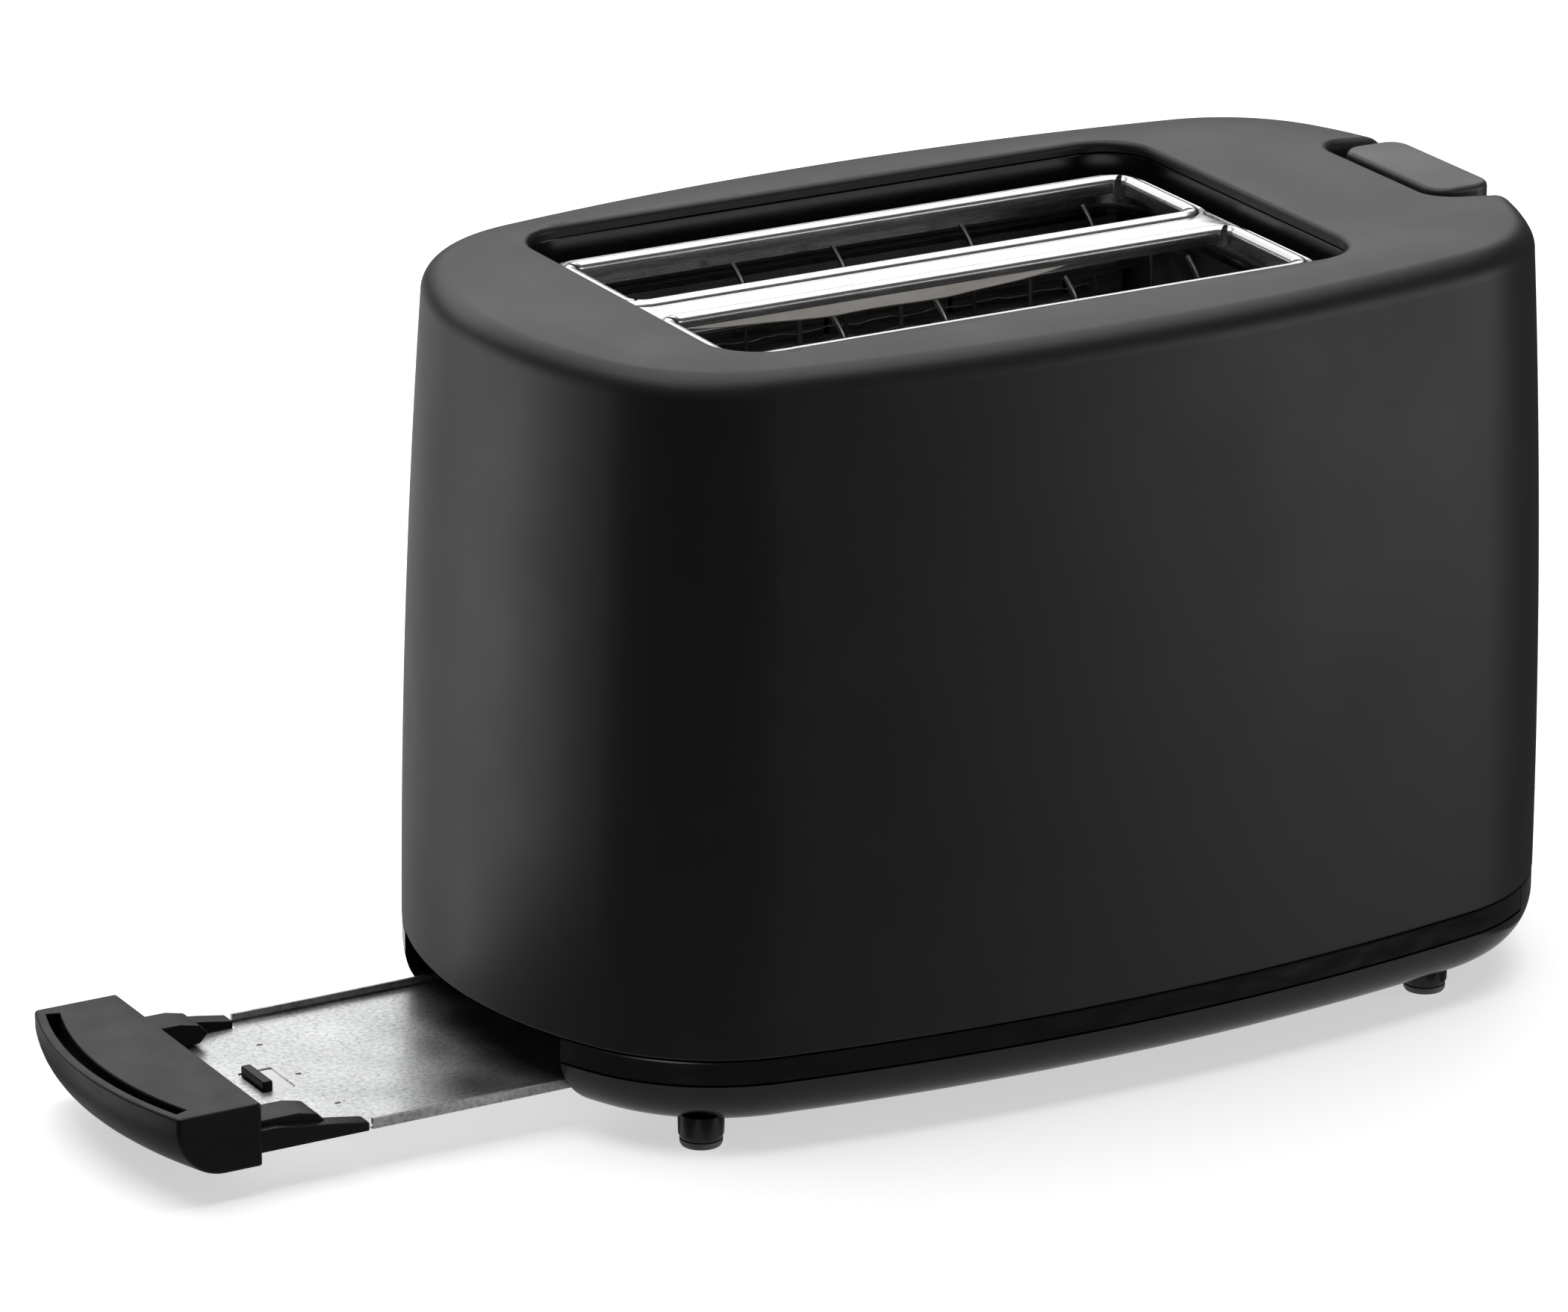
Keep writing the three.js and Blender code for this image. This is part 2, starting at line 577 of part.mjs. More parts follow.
function leverKnob() {
  const { left, right, half, top, height, radius, bevel } = KNOB;
  const shape = roundedRect(left + bevel, right - bevel, -half + bevel, half - bevel, radius - bevel);
  const pad = new THREE.ExtrudeGeometry(shape, {
    depth: height - 2 * bevel,
    bevelSize: bevel,
    bevelThickness: bevel,
    bevelSegments: 2,
    curveSegments: 4,
  }).translate(0, 0, top - height + bevel);
  const side = ARM.half + GAP;
  const socket = box(left - 5, ARM.end + GAP, -side, side, ARM.low - GAP, ARM.high + GAP);
  return cut(pad, [socket]);
}

// The upright plate that carries the racks and runs on the guide rod.
function carriage() {
  const { x, bottom, top, half, thickness } = CARRIAGE;
  const panel = box(x, x + thickness, -half, half, bottom, top);
  const lowEar = box(x, EAR.reach, -EAR.outer, EAR.outer, bottom, bottom + thickness);
  const highEar = box(x, EAR.reach, EAR.inner, EAR.outer, top - thickness, top);
  const rodHole = pillar(ROD.x, ROD.y, ROD.radius + GAP, 0, REACH, 12);
  return cut(join([panel, lowEar, highEar]), [rodHole]);
}

function breadRack(y) {
  const foot = CARRIAGE.x - GAP;
  const { bottom, half, thickness } = RACK_TAB;
  const web = box(RACK.left, foot, y - 0.5, y + 0.5, RACK.bottom, RACK.top - 1);
  const tab = box(foot - thickness, foot, y - half, y + half, bottom, RACK.top - 1);
  const fingers = RACK.fingers.map((x) => (
    box(x - 3, x + 3, y - RACK.half, y + RACK.half, RACK.top - 1.5, RACK.top - 0.5)
  ));
  return join([web, tab, ...fingers]);
}

class Helix extends THREE.Curve {
  constructor(radius, bottom, top, turns) {
    super();
    Object.assign(this, { radius, bottom, top, turns });
  }

  getPoint(t, target = new THREE.Vector3()) {
    const angle = t * this.turns * 2 * Math.PI;
    const z = THREE.MathUtils.lerp(this.bottom, this.top, t);
    return target.set(this.radius * Math.cos(angle), this.radius * Math.sin(angle), z);
  }
}

function liftSpring() {
  const bottom = CARRIAGE.bottom + CARRIAGE.thickness + SPRING.wire + GAP;
  const top = SHELF.high - SPRING.wire - GAP;
  const helix = new Helix(SPRING.radius, bottom, top, SPRING.turns);
  return wire(helix, SPRING.wire, 4, SPRING.turns * 8).translate(ROD.x, -ROD.y, 0);
}

function magnetCore() {
  const { x, reach, half, bottom, base, top, pole } = MAGNET;
  return join([
    box(x - reach, x + reach, -half, half, bottom, base),
    pillar(x, 0, pole, base - 1, top, 12),
    box(x - 4, x + 4, -half, -half + 1.6, base - 1, top),
    box(x - 4, x + 4, half - 1.6, half, base - 1, top),
  ]);
}

function magnetCoil() {
  const { inner, outer, bottom, top } = COIL;
  const profile = [[inner, bottom], [outer, bottom], [outer, top], [inner, top], [inner, bottom]];
  const points = profile.map(([r, z]) => new THREE.Vector2(r, z));
  return new THREE.LatheGeometry(points, 16).rotateX(Math.PI / 2).translate(MAGNET.x, 0, 0);
}

// ---- Controls -------------------------------------------------------------------------------

// Where the housing's outer face stands at the lever end.
function wallX(y, z) {
  const centre = BODY_CENTRE + BODY_LEAN * (z - SEAM_Z) + CENTRES.end.x;
  return centre + Math.sqrt((END_BOW - wallInset(z)) ** 2 - y ** 2);
}

function browningDial() {
  const { back, front, radius, bore } = DIAL;
  const profile = [
    [0, front], [radius - 1.2, front], [radius, front - 1.2], [radius, back], [bore, back],
    [bore, front - 5], [0, front - 5],
  ];
  const points = profile.map(([r, x]) => new THREE.Vector2(r, x)).reverse();
  const turned = new THREE.LatheGeometry(points, 24).rotateZ(-Math.PI / 2).translate(0, 0, DIAL.z);
  return cut(turned, [box(front - 0.9, front + 5, -0.8, 0.8, DIAL.z + 2, DIAL.z + radius + 5)]);
}

function dialPotentiometer() {
  return join([
    box(BOARD_X + BOARD_THICKNESS + GAP, BOARD_X + 10, -8.5, 8.5, DIAL.z - 8.5, DIAL.z + 8.5),
    shaftX(0, DIAL.z, 2.9, BOARD_X + 9, DIAL.front - 6, 12),
  ]);
}

function pushButton(y) {
  const face = wallX(y, BUTTON.z) + BUTTON.stand;
  const flangeEdge = Math.abs(y) + BUTTON.width / 2 + 1;
  const backFlange = wallX(flangeEdge, BUTTON.z + BUTTON.height) - WALL - BUTTON.stand;
  return join([
    buttonHole(y, 0, backFlange, face),
    buttonHole(y, 1, backFlange, backFlange + 1.2),
    shaftX(y, BUTTON.z, 1.8, BOARD_X + 8.6, backFlange + 0.5, 8),
  ]);
}

function pushSwitch(y) {
  return join([
    box(BOARD_X + BOARD_THICKNESS + GAP, BOARD_X + 5.4, y - 3, y + 3, BUTTON.z - 3, BUTTON.z + 3),
    shaftX(y, BUTTON.z, 1.6, BOARD_X + 5, BOARD_X + 6.7, 8),
  ]);
}

function contactBlade(y) {
  const outline = [[104, 26.4], [112, 26.4], [112, 27], [106, 27], [101.8, 31], [101.2, 30.6]];
  return sideSlab(outline, y - 2, y + 2);
}

// ---- Crumb tray -----------------------------------------------------------------------------

function crumbTray() {
  const { front, back, half, floor, wall } = TRAY;
  const deck = floor + TRAY_SHEET;
  const inner = half - TRAY_HEM;
  const pan = cut(box(front, back, -half, half, floor, floor + wall), [
    box(front - 1, back - TRAY_HEM, -inner, inner, deck, REACH),
  ]);
  const tongue = box(TONGUE.front, front + 1, -TONGUE.half, TONGUE.half, floor, deck);
  const window = box(WINDOW.front, WINDOW.back, -WINDOW.half, WINDOW.half, 0, REACH);
  return cut(join([pan, tongue]), [window]);
}

// The handle's section at a distance y from its middle, as points in X and Z.
function handleSection(y) {
  const { back, middle, bottom, top } = HANDLE;
  const { rim, chamfer, depth } = FASCIA;
  const front = middle + HANDLE_BOW - Math.sqrt(HANDLE_BOW ** 2 - y ** 2);
  const nose = top - rim;
  const points = [
    [back, bottom], [back, top], [front + chamfer, top], [front, top - chamfer], [front, nose],
  ];
  for (let i = 1; i <= 4; i += 1) {
    const angle = ((i / 4) * Math.PI) / 2;
    points.push([front + depth * (1 - Math.cos(angle)), nose - (nose - bottom) * Math.sin(angle)]);
  }
  return points.reverse().map(([x, z]) => new THREE.Vector3(x, y, z));
}

function handleBody() {
  const steps = 10;
  const sections = Array.from({ length: steps + 1 }, (_, i) => (
    handleSection(THREE.MathUtils.lerp(-HANDLE.half, HANDLE.half, i / steps))
  ));
  return loft(sections, (p) => new THREE.Vector2(p.x, -p.z));
}

// The finger groove that follows the bowed front edge.
function gripGroove() {
  const { middle, half, top } = HANDLE;
  const { margin, near, far, depth } = GROOVE;
  const centre = middle + HANDLE_BOW;
  const reach = Math.asin((half - margin) / HANDLE_BOW);
  const shape = new THREE.Shape();
  shape.absarc(centre, 0, HANDLE_BOW - near, Math.PI + reach, Math.PI - reach, true);
  shape.absarc(centre, 0, HANDLE_BOW - far, Math.PI - reach, Math.PI + reach, false);
  return slab(shape, top - depth, REACH, 6);
}

// A tapered rail at one side of the tongue, with the chamfered hook that clips over it.
function handleRail(side) {
  const root = HANDLE.back - 2;
  const low = HANDLE.bottom + 2.6;
  const rail = [
    [root, low], [RAIL.end, low], [RAIL.end, low + 2.2], [HANDLE.back + 4, low + 4.6], [root, low + 4.6],
  ];
  const seat = TRAY.floor + TRAY_SHEET + GAP;
  const hook = [
    [root, seat], [HOOK.front, seat], [HOOK.tip, seat + 2.4], [HOOK.front, seat + 4.6], [root, seat + 5.4],
  ];
  return [[rail, RAIL], [hook, HOOK]].map(([outline, { inner, outer }]) => (
    sideSlab(outline, Math.min(side * inner, side * outer), Math.max(side * inner, side * outer))
  ));
}

function trayHandle() {
  const socket = TONGUE.half + GAP;
  const tongueSocket = box(
    TONGUE.front - GAP, REACH, -socket, socket, TRAY.floor - GAP, TRAY.floor + TRAY_SHEET + GAP,
  );
  const { half, front, back } = LATCH;
  const latch = [
    box(HANDLE.back - 2, back, -half, half, TRAY.floor - 2.2, TRAY.floor - GAP),
    box(front, back, -half, half, TRAY.floor - 1, TRAY.floor + 2.6),
  ];
  const solidParts = join([handleBody(), ...handleRail(-1), ...handleRail(1)]);
  return join([cut(solidParts, [gripGroove(), tongueSocket]), ...latch]);
}

// ---- Assembly -------------------------------------------------------------------------------

const toaster = new THREE.Group();

function add(parent, name, geometry, material, position = [0, 0, 0]) {
  const mesh = new THREE.Mesh(geometry, material());
  mesh.name = name;
  mesh.position.set(...position);
  parent.add(mesh);
}

function addHousing() {
  add(toaster, 'housing_shell', housingShell(), MATTE_BLACK);
  add(toaster, 'trench_liner', trenchLiner(), GLOSS_BLACK);
  add(toaster, 'top_plate', topPlate(), STAINLESS);
}

function addBase() {
  add(toaster, 'base_skirt', baseSkirt(), GLOSS_BLACK);
  add(toaster, 'bottom_pan', bottomPan(), GLOSS_BLACK);
  FOOT_PLACES.forEach(([x, y], i) => add(toaster, `foot_pad_${i + 1}`, footPad(), RUBBER, [x, y, 0]));
  BOSS_PLACES.forEach(([x, y], i) => add(toaster, `pan_screw_${i + 1}`, panScrew(), GALVANISED, [x, y, 0]));
  add(toaster, 'cord_inlet_bush', cordInlet(), DARK_GREY);
}

function orderedRibbon(a, b) {
  return heaterRibbon(Math.min(a, b), Math.max(a, b));
}

function addOven() {
  add(toaster, 'chassis_end_left', leftEndPlate(), GALVANISED);
  add(toaster, 'chassis_end_lever', leverEndPlate(), GALVANISED);
  const sides = [['front', -1], ['back', 1]];
  const face = BOARD.thickness / 2 + 0.1;
  sides.forEach(([name, side]) => {
    const inner = side * (BOARD.y - face);
    const middle = side * face;
    const thickness = side * RIBBON.thickness;
    add(toaster, `reflector_${name}`, reflector(side), GALVANISED);
    add(toaster, `mica_board_${name}`, micaBoard(side * BOARD.y), MICA);
    add(toaster, `heater_ribbon_${name}`, orderedRibbon(inner, inner - thickness), NICHROME);
    add(toaster, `heater_ribbon_middle_${name}`, orderedRibbon(middle, middle + thickness), NICHROME);
    add(toaster, `slot_end_guide_${name}`, slotEndGuide(side * SLOT.y), DARK_STEEL);
    add(toaster, `bread_guide_${name}_outer`, breadGuide(side * (SLOT.y + GUIDE.offset), side), STAINLESS);
    add(toaster, `bread_guide_${name}_inner`, breadGuide(side * (SLOT.y - GUIDE.offset), -side), STAINLESS);
  });
  add(toaster, 'mica_board_middle', micaBoard(0), MICA);
}

function armaturePlate() {
  const { left, right, half, drop, gap } = ARMATURE;
  return box(left, right, -half, half, CARRIAGE.bottom - drop, CARRIAGE.bottom - gap);
}

function controlBoard() {
  return box(BOARD_X, BOARD_X + BOARD_THICKNESS, -34, 34, 30, 79);
}

function addLever() {
  add(toaster, 'lever_knob', leverKnob(), DARK_GREY);
  add(toaster, 'lever_arm', leverArm(), GALVANISED);
  add(toaster, 'carriage', carriage(), GALVANISED);
  add(toaster, 'bread_rack_front', breadRack(-SLOT.y), STAINLESS);
  add(toaster, 'bread_rack_back', breadRack(SLOT.y), STAINLESS);
  add(toaster, 'armature_plate', armaturePlate(), DARK_STEEL);
  add(toaster, 'guide_rod', pillar(ROD.x, ROD.y, ROD.radius, ROD.bottom, ROD.top, 12), STAINLESS);
  add(toaster, 'lift_spring', liftSpring(), STAINLESS);
  add(toaster, 'magnet_core', magnetCore(), DARK_STEEL);
  add(toaster, 'magnet_coil', magnetCoil(), COPPER);
}

function addControls() {
  add(toaster, 'browning_dial', browningDial(), DARK_GREY);
  add(toaster, 'dial_potentiometer', dialPotentiometer(), DARK_STEEL);
  ['cancel', 'reheat', 'defrost'].forEach((name, i) => {
    add(toaster, `button_${name}`, pushButton(BUTTON_Y[i]), DARK_GREY);
    add(toaster, `switch_${name}`, pushSwitch(BUTTON_Y[i]), NYLON);
  });
  add(toaster, 'control_board', controlBoard(), BOARD_GREEN);
  add(toaster, 'contact_blade_front', contactBlade(-5), COPPER);
  add(toaster, 'contact_blade_back', contactBlade(5), COPPER);
  add(toaster, 'terminal_block', box(104, 116, 18, 42, 20, 32), NYLON);
}

function addTray() {
  add(toaster, 'crumb_tray', crumbTray(), GALVANISED);
  add(toaster, 'tray_handle', trayHandle(), GLOSS_BLACK);
}

addHousing();
addBase();
addOven();
addLever();
addControls();
addTray();
toaster.position.x = -(HANDLE.middle + DIAL.front) / 2;

export default toaster;
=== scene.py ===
"""Looks of a two-slice pop-up toaster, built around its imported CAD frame.

Lengths are in millimetres and X is counted from the middle of the bread slots; mesh_object() turns
them into metres in the row frame. Only the lights and the camera are placed in metres.
"""

import math

import bmesh
import bpy
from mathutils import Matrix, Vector
from mathutils.geometry import tessellate_polygon


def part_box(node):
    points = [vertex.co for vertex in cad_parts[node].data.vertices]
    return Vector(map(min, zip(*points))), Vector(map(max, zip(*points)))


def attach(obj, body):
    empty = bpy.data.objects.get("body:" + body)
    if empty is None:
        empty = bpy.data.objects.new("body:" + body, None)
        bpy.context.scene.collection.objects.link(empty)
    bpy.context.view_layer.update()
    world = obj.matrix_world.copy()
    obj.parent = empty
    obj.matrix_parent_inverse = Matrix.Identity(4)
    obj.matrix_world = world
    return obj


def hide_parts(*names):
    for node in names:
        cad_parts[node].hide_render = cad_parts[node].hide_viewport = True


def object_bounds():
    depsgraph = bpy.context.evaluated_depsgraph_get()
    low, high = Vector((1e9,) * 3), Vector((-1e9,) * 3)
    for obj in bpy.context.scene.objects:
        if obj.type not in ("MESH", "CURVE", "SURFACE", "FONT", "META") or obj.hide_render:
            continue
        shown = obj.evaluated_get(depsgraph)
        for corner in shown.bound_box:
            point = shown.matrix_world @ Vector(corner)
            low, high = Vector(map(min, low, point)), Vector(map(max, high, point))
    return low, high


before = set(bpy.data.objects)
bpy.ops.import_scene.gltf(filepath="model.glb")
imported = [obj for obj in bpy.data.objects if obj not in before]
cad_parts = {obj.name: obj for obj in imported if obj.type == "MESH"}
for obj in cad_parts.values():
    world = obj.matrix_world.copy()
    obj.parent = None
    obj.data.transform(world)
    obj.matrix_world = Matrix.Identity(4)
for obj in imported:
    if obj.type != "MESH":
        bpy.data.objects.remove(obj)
CAD_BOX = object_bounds()

MM = 0.001
PLATE_LOW, PLATE_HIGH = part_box("top_plate")
ORIGIN = Vector(((PLATE_LOW.x + PLATE_HIGH.x) / 2, 0, 0))


def span(node):
    """A CAD node's lowest and highest corners in millimetres."""
    low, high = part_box(node)
    return (low - ORIGIN) / MM, (high - ORIGIN) / MM


# ---- Dimensions shared with the CAD ----------------------------------------------------------

HOUSING = span("housing_shell")
PLATE = span("top_plate")
LINER = span("trench_liner")
SKIRT = span("base_skirt")
PAN = span("bottom_pan")
KNOB = span("lever_knob")
TRAY = span("crumb_tray")
HANDLE = span("tray_handle")
DIAL = span("browning_dial")

LENGTH, WIDTH = 261.6, 156.0
SIDE_BOW, END_BOW, CORNER = 508.0, 105.0, 45.0
SEAM_INSET, TAPER, LEAN = 0.5, 4.7, 0.011
SEAM_Z, TOP_Z = HOUSING[0].z, HOUSING[1].z
RIM_RADIUS, CROWN_RADIUS, RIM_TURN = 6.5, 100.0, math.radians(82)
CROWN_IN = (CROWN_RADIUS - RIM_RADIUS) * math.cos(RIM_TURN)
CROWN_DOWN = (CROWN_RADIUS - RIM_RADIUS) * math.sin(RIM_TURN)
SHOULDER_Z = TOP_Z - CROWN_RADIUS + CROWN_DOWN
CENTRE_X = HOUSING[0].x - SEAM_INSET + LENGTH / 2
WALL = 2.4
OPENING = (-78, 79, -51, 51)
OPENING_RADIUS = 12
BAY_X, BAY_HALF, BAY_RADIUS = 115, 24.5, 6
BAY_FLOOR = 85.4
BASE_Z, BASE_RADIUS, BASE_INSET = PAN[0].z + 3.5, 12.5, 0.6
PAN_SEAM_Z, PAN_STEP_X = 16.3, 117.3
MOUTH_X, MOUTH_HALF = -92.2, 36.6
SLOT_Y, SLOT_HALF, SLOT_LENGTH, SLOT_RADIUS = 22.5, 15, 140, 3
PLATE_Z = PLATE[1].z - 0.9
QUADRANTS = [(sx, sy) for sx in (-1, 1) for sy in (-1, 1)]
FEET = [(2.9 + sx * 92.4, sy * 56) for sx, sy in QUADRANTS]
SCREWS = [(sx * 77, sy * 42.5) for sx, sy in QUADRANTS]
PEG = 5


# ---- Mesh tools ------------------------------------------------------------------------------

def mesh_object(name, shape):
    points, faces = shape
    mesh = bpy.data.meshes.new(name)
    mesh.from_pydata([ORIGIN + Vector(p) * MM for p in points], [], faces)
    work = bmesh.new()
    work.from_mesh(mesh)
    bmesh.ops.recalc_face_normals(work, faces=work.faces)
    work.to_mesh(mesh)
    work.free()
    obj = bpy.data.objects.new(name, mesh)
    bpy.context.scene.collection.objects.link(obj)
    return obj


def apply_modifiers(obj):
    graph = bpy.context.evaluated_depsgraph_get()
    mesh = bpy.data.meshes.new_from_object(obj.evaluated_get(graph))
    obj.modifiers.clear()
    old = obj.data
    obj.data = mesh
    bpy.data.meshes.remove(old)


def taken(obj):
    """The object's points and faces in millimetres; the object itself is removed."""
    mesh = obj.data
    shape = ([tuple((v.co - ORIGIN) / MM) for v in mesh.vertices],
             [tuple(p.vertices) for p in mesh.polygons])
    bpy.data.objects.remove(obj)
    return shape


def boolean(obj, operation, *shapes):
    tools = [mesh_object("tool", shape) for shape in shapes]
    for tool in tools:
        modifier = obj.modifiers.new("boolean", "BOOLEAN")
        modifier.solver = "MANIFOLD"
        modifier.operation = operation
        modifier.object = tool
        apply_modifiers(obj)
    for tool in tools:
        bpy.data.objects.remove(tool)
    return obj


def cut(obj, *shapes):
    return boolean(obj, "DIFFERENCE", *shapes)


def join(obj, *shapes):
    return boolean(obj, "UNION", *shapes)


def finish(obj, body, slot, *replaced, skin=None, angle=32):
    """Shading, body and material slot of a finished piece; its look is the slot's own or skin."""
    mesh = obj.data
    mesh.materials.clear()
    mesh.materials.append(skin or SKINS[slot])
    mesh.polygons.foreach_set("material_index", [0] * len(mesh.polygons))
    mesh.polygons.foreach_set("use_smooth", [True] * len(mesh.polygons))
    mesh.set_sharp_from_angle(angle=math.radians(angle))
    obj.modifiers.new("normals", "WEIGHTED_NORMAL").keep_sharp = True
    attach(obj, body)
    if replaced:
        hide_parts(*replaced)


def loft(rings, closed=False, cap=True):
    """Skin over rings with equally many points; closed joins the last ring to the first."""
    count = len(rings[0])
    points = [tuple(p) for ring in rings for p in ring]
    faces = []
    for i in range(len(rings) if closed else len(rings) - 1):
        a, b = i * count, (i + 1) % len(rings) * count
        for j in range(count):
            k = (j + 1) % count
            faces.append((a + j, a + k, b + k, b + j))
    if cap and not closed:
        faces.append(tuple(reversed(range(count))))
        faces.append(tuple(range(len(points) - count, len(points))))
    return points, faces


def merged(*shapes):
    points, faces = [], []
    for shape_points, shape_faces in shapes:
        base = len(points)
        points += shape_points
        faces += [tuple(i + base for i in face) for face in shape_faces]
    return points, faces


def arc(centre_a, centre_b, radius, start, end, steps):
    """Points of an arc in a plane, both ends included, angles in degrees."""
    made = []
    for i in range(steps + 1):
        angle = math.radians(start + (end - start) * i / steps)
        made.append((centre_a + radius * math.cos(angle), centre_b + radius * math.sin(angle)))
    return made


def rounded(rect, radius, grow=0.0, steps=8):
    """A rounded rectangle's outline in its plane, grown on all sides."""
    x0, x1, y0, y1 = rect
    x0, x1, y0, y1, r = x0 - grow, x1 + grow, y0 - grow, y1 + grow, max(radius + grow, 0.05)
    made = []
    for x, y, start in ((x1 - r, y0 + r, -90), (x1 - r, y1 - r, 0),
                        (x0 + r, y1 - r, 90), (x0 + r, y0 + r, 180)):
        made += arc(x, y, r, start, start + 90, steps)
    return made


def quarter_turn(steps, first=0):
    """Angles from 0 to 90 degrees, in radians, from step number first on."""
    return [math.pi / 2 * i / steps for i in range(first, steps + 1)]


def full_turn(steps):
    return [2 * math.pi * i / steps for i in range(steps)]


def at_z(outline, z):
    return [(x, y, z) for x, y in outline]


def at_x(outline, x):
    return [(x, y, z) for y, z in outline]


def at_y(outline, y):
    return [(x, y, z) for x, z in outline]


def slab(rect, radius, z0, z1, top=0.4, bottom=0.4, place=at_z):
    """A rounded-rectangle block whose top and bottom edges are filleted."""
    levels = [(-bottom + bottom * math.sin(t), z0 + bottom - bottom * math.cos(t))
              for t in quarter_turn(4)]
    levels += [(-top + top * math.cos(t), z1 - top + top * math.sin(t)) for t in quarter_turn(4)]
    return loft([place(rounded(rect, radius, grow), z) for grow, z in levels])


def block(x0, x1, y0, y1, z0, z1):
    return loft([at_z([(x0, y0), (x1, y0), (x1, y1), (x0, y1)], z) for z in (z0, z1)])


def turned(profile, steps=48, axis="z", centre=(0, 0)):
    """A solid of revolution from (radius, height) points; first and last lie near the axis."""
    rings = []
    for radius, height in profile:
        circle = arc(centre[0], centre[1], max(radius, 0.01), 0, 360, steps)[:-1]
        rings.append(at_z(circle, height) if axis == "z" else at_x(circle, height))
    return loft(rings)


def rod(radius, low, high, steps, axis, centre):
    return turned([(0, low), (radius, low), (radius, high), (0, high)], steps, axis, centre)


def tube(path, radius, sides=12):
    """A round wire along a path of points."""
    path = [Vector(p) for p in path]
    rings, normal = [], None
    for i, point in enumerate(path):
        before, after = path[max(i - 1, 0)], path[min(i + 1, len(path) - 1)]
        along = (after - before).normalized()
        if normal is None:
            normal = along.orthogonal()
        normal = (normal - along * normal.dot(along)).normalized()
        side = along.cross(normal)
        rings.append([point + radius * (normal * math.cos(a) + side * math.sin(a))
                      for a in full_turn(sides)])
    return loft(rings)


def prism(outline, y0, y1):
    """An outline in X and Z given thickness along Y."""
    return loft([at_y(outline, y) for y in (y0, y1)])


def bevel(obj, width):
    modifier = obj.modifiers.new("bevel", "BEVEL")
    modifier.width = width * MM
    modifier.segments = 2
    modifier.limit_method = "ANGLE"
    modifier.angle_limit = math.radians(30)
    modifier.use_clamp_overlap = True
    apply_modifiers(obj)
    return obj


# ---- Body outline ----------------------------------------------------------------------------

def arc_centres():
    end = Vector((LENGTH / 2 - END_BOW, 0))
    side = Vector((0, WIDTH / 2 - SIDE_BOW))
    apart = (end - side).length
    from_side, from_end = SIDE_BOW - CORNER, END_BOW - CORNER
    along = (from_side ** 2 - from_end ** 2 + apart ** 2) / (2 * apart)
    across = math.sqrt(from_side ** 2 - along ** 2)
    direction = (end - side) / apart
    corner = side + direction * along + Vector((direction.y, -direction.x)) * across
    return end, corner, side


END_C, CORNER_C, SIDE_C = arc_centres()
END_ANGLE = math.degrees(math.atan2(CORNER_C.y - END_C.y, CORNER_C.x - END_C.x))
SIDE_ANGLE = math.degrees(math.atan2(CORNER_C.y - SIDE_C.y, CORNER_C.x - SIDE_C.x))


def centre_at(z):
    return CENTRE_X + LEAN * max(0.0, z - SEAM_Z)


def body_ring(inset, z):
    quarter = arc(END_C.x, END_C.y, END_BOW - inset, 0, END_ANGLE, 16)[:-1]
    quarter += arc(CORNER_C.x, CORNER_C.y, CORNER - inset, END_ANGLE, SIDE_ANGLE, 26)[:-1]
    quarter += arc(SIDE_C.x, SIDE_C.y, SIDE_BOW - inset, SIDE_ANGLE, 90, 22)
    upper = quarter + [(-x, y) for x, y in reversed(quarter[:-1])]
    lower = [(x, -y) for x, y in reversed(upper[1:-1])]
    return [(centre_at(z) + x, y, z) for x, y in upper + lower]


def body_loft(levels, closed=False):
    """The body's outline lofted through (inset, height) levels."""
    return loft([body_ring(inset, z) for inset, z in levels], closed)


def wall_inset(z):
    return SEAM_INSET + TAPER * ((z - SEAM_Z) / (SHOULDER_Z - SEAM_Z)) ** 2


def wall_x(y, z, sunk=0.0):
    """Where the housing's face stands at the lever end, sunk below its surface."""
    return centre_at(z) + END_C.x + math.sqrt((END_BOW - wall_inset(z) - sunk) ** 2 - y * y)


def shoulder(sunk, turn):
    """Inset and height on the housing's upper edge, turn degrees up from the wall.

    A small rim radius comes first and runs into the wide, nearly flat crown of the top.
    """
    angle = math.radians(turn)
    inset, z, radius = wall_inset(SHOULDER_Z) + RIM_RADIUS, SHOULDER_Z, RIM_RADIUS - sunk
    if angle > RIM_TURN:
        inset, z, radius = inset + CROWN_IN, z - CROWN_DOWN, CROWN_RADIUS - sunk
    return inset - radius * math.cos(angle), z + radius * math.sin(angle)


def shoulder_point(y, sunk, turn):
    """The point of the lever end's upper edge that lies at y, turn degrees up."""
    inset, z = shoulder(sunk, turn)
    return centre_at(z) + END_C.x + math.sqrt((END_BOW - inset) ** 2 - y * y), y, z


def turn_at(x, y, sunk):
    """How many degrees up the lever end's upper edge has turned above the plan point x, y."""
    low, high = 0.0, 90.0
    for _ in range(30):
        middle = (low + high) / 2
        if shoulder_point(y, sunk, middle)[0] > x:
            low = middle
        else:
            high = middle
    return high


def housing_levels(sunk, bottom, wall_steps, edge_steps, brim=0.0):
    levels = []
    if brim:
        levels = [(SEAM_INSET + brim - a, SEAM_Z + brim + b)
                  for a, b in arc(0, 0, brim, -90, 0, 4)][:-1]
    first = levels[-1][1] + 0.3 if brim else bottom
    for i in range(wall_steps + 1):
        z = first + (SHOULDER_Z - first) * i / wall_steps
        levels.append((wall_inset(max(z, SEAM_Z)) + sunk, z))
    levels += [shoulder(sunk, 90 * i / edge_steps) for i in range(1, edge_steps + 1)]
    return levels


# ---- Materials -------------------------------------------------------------------------------

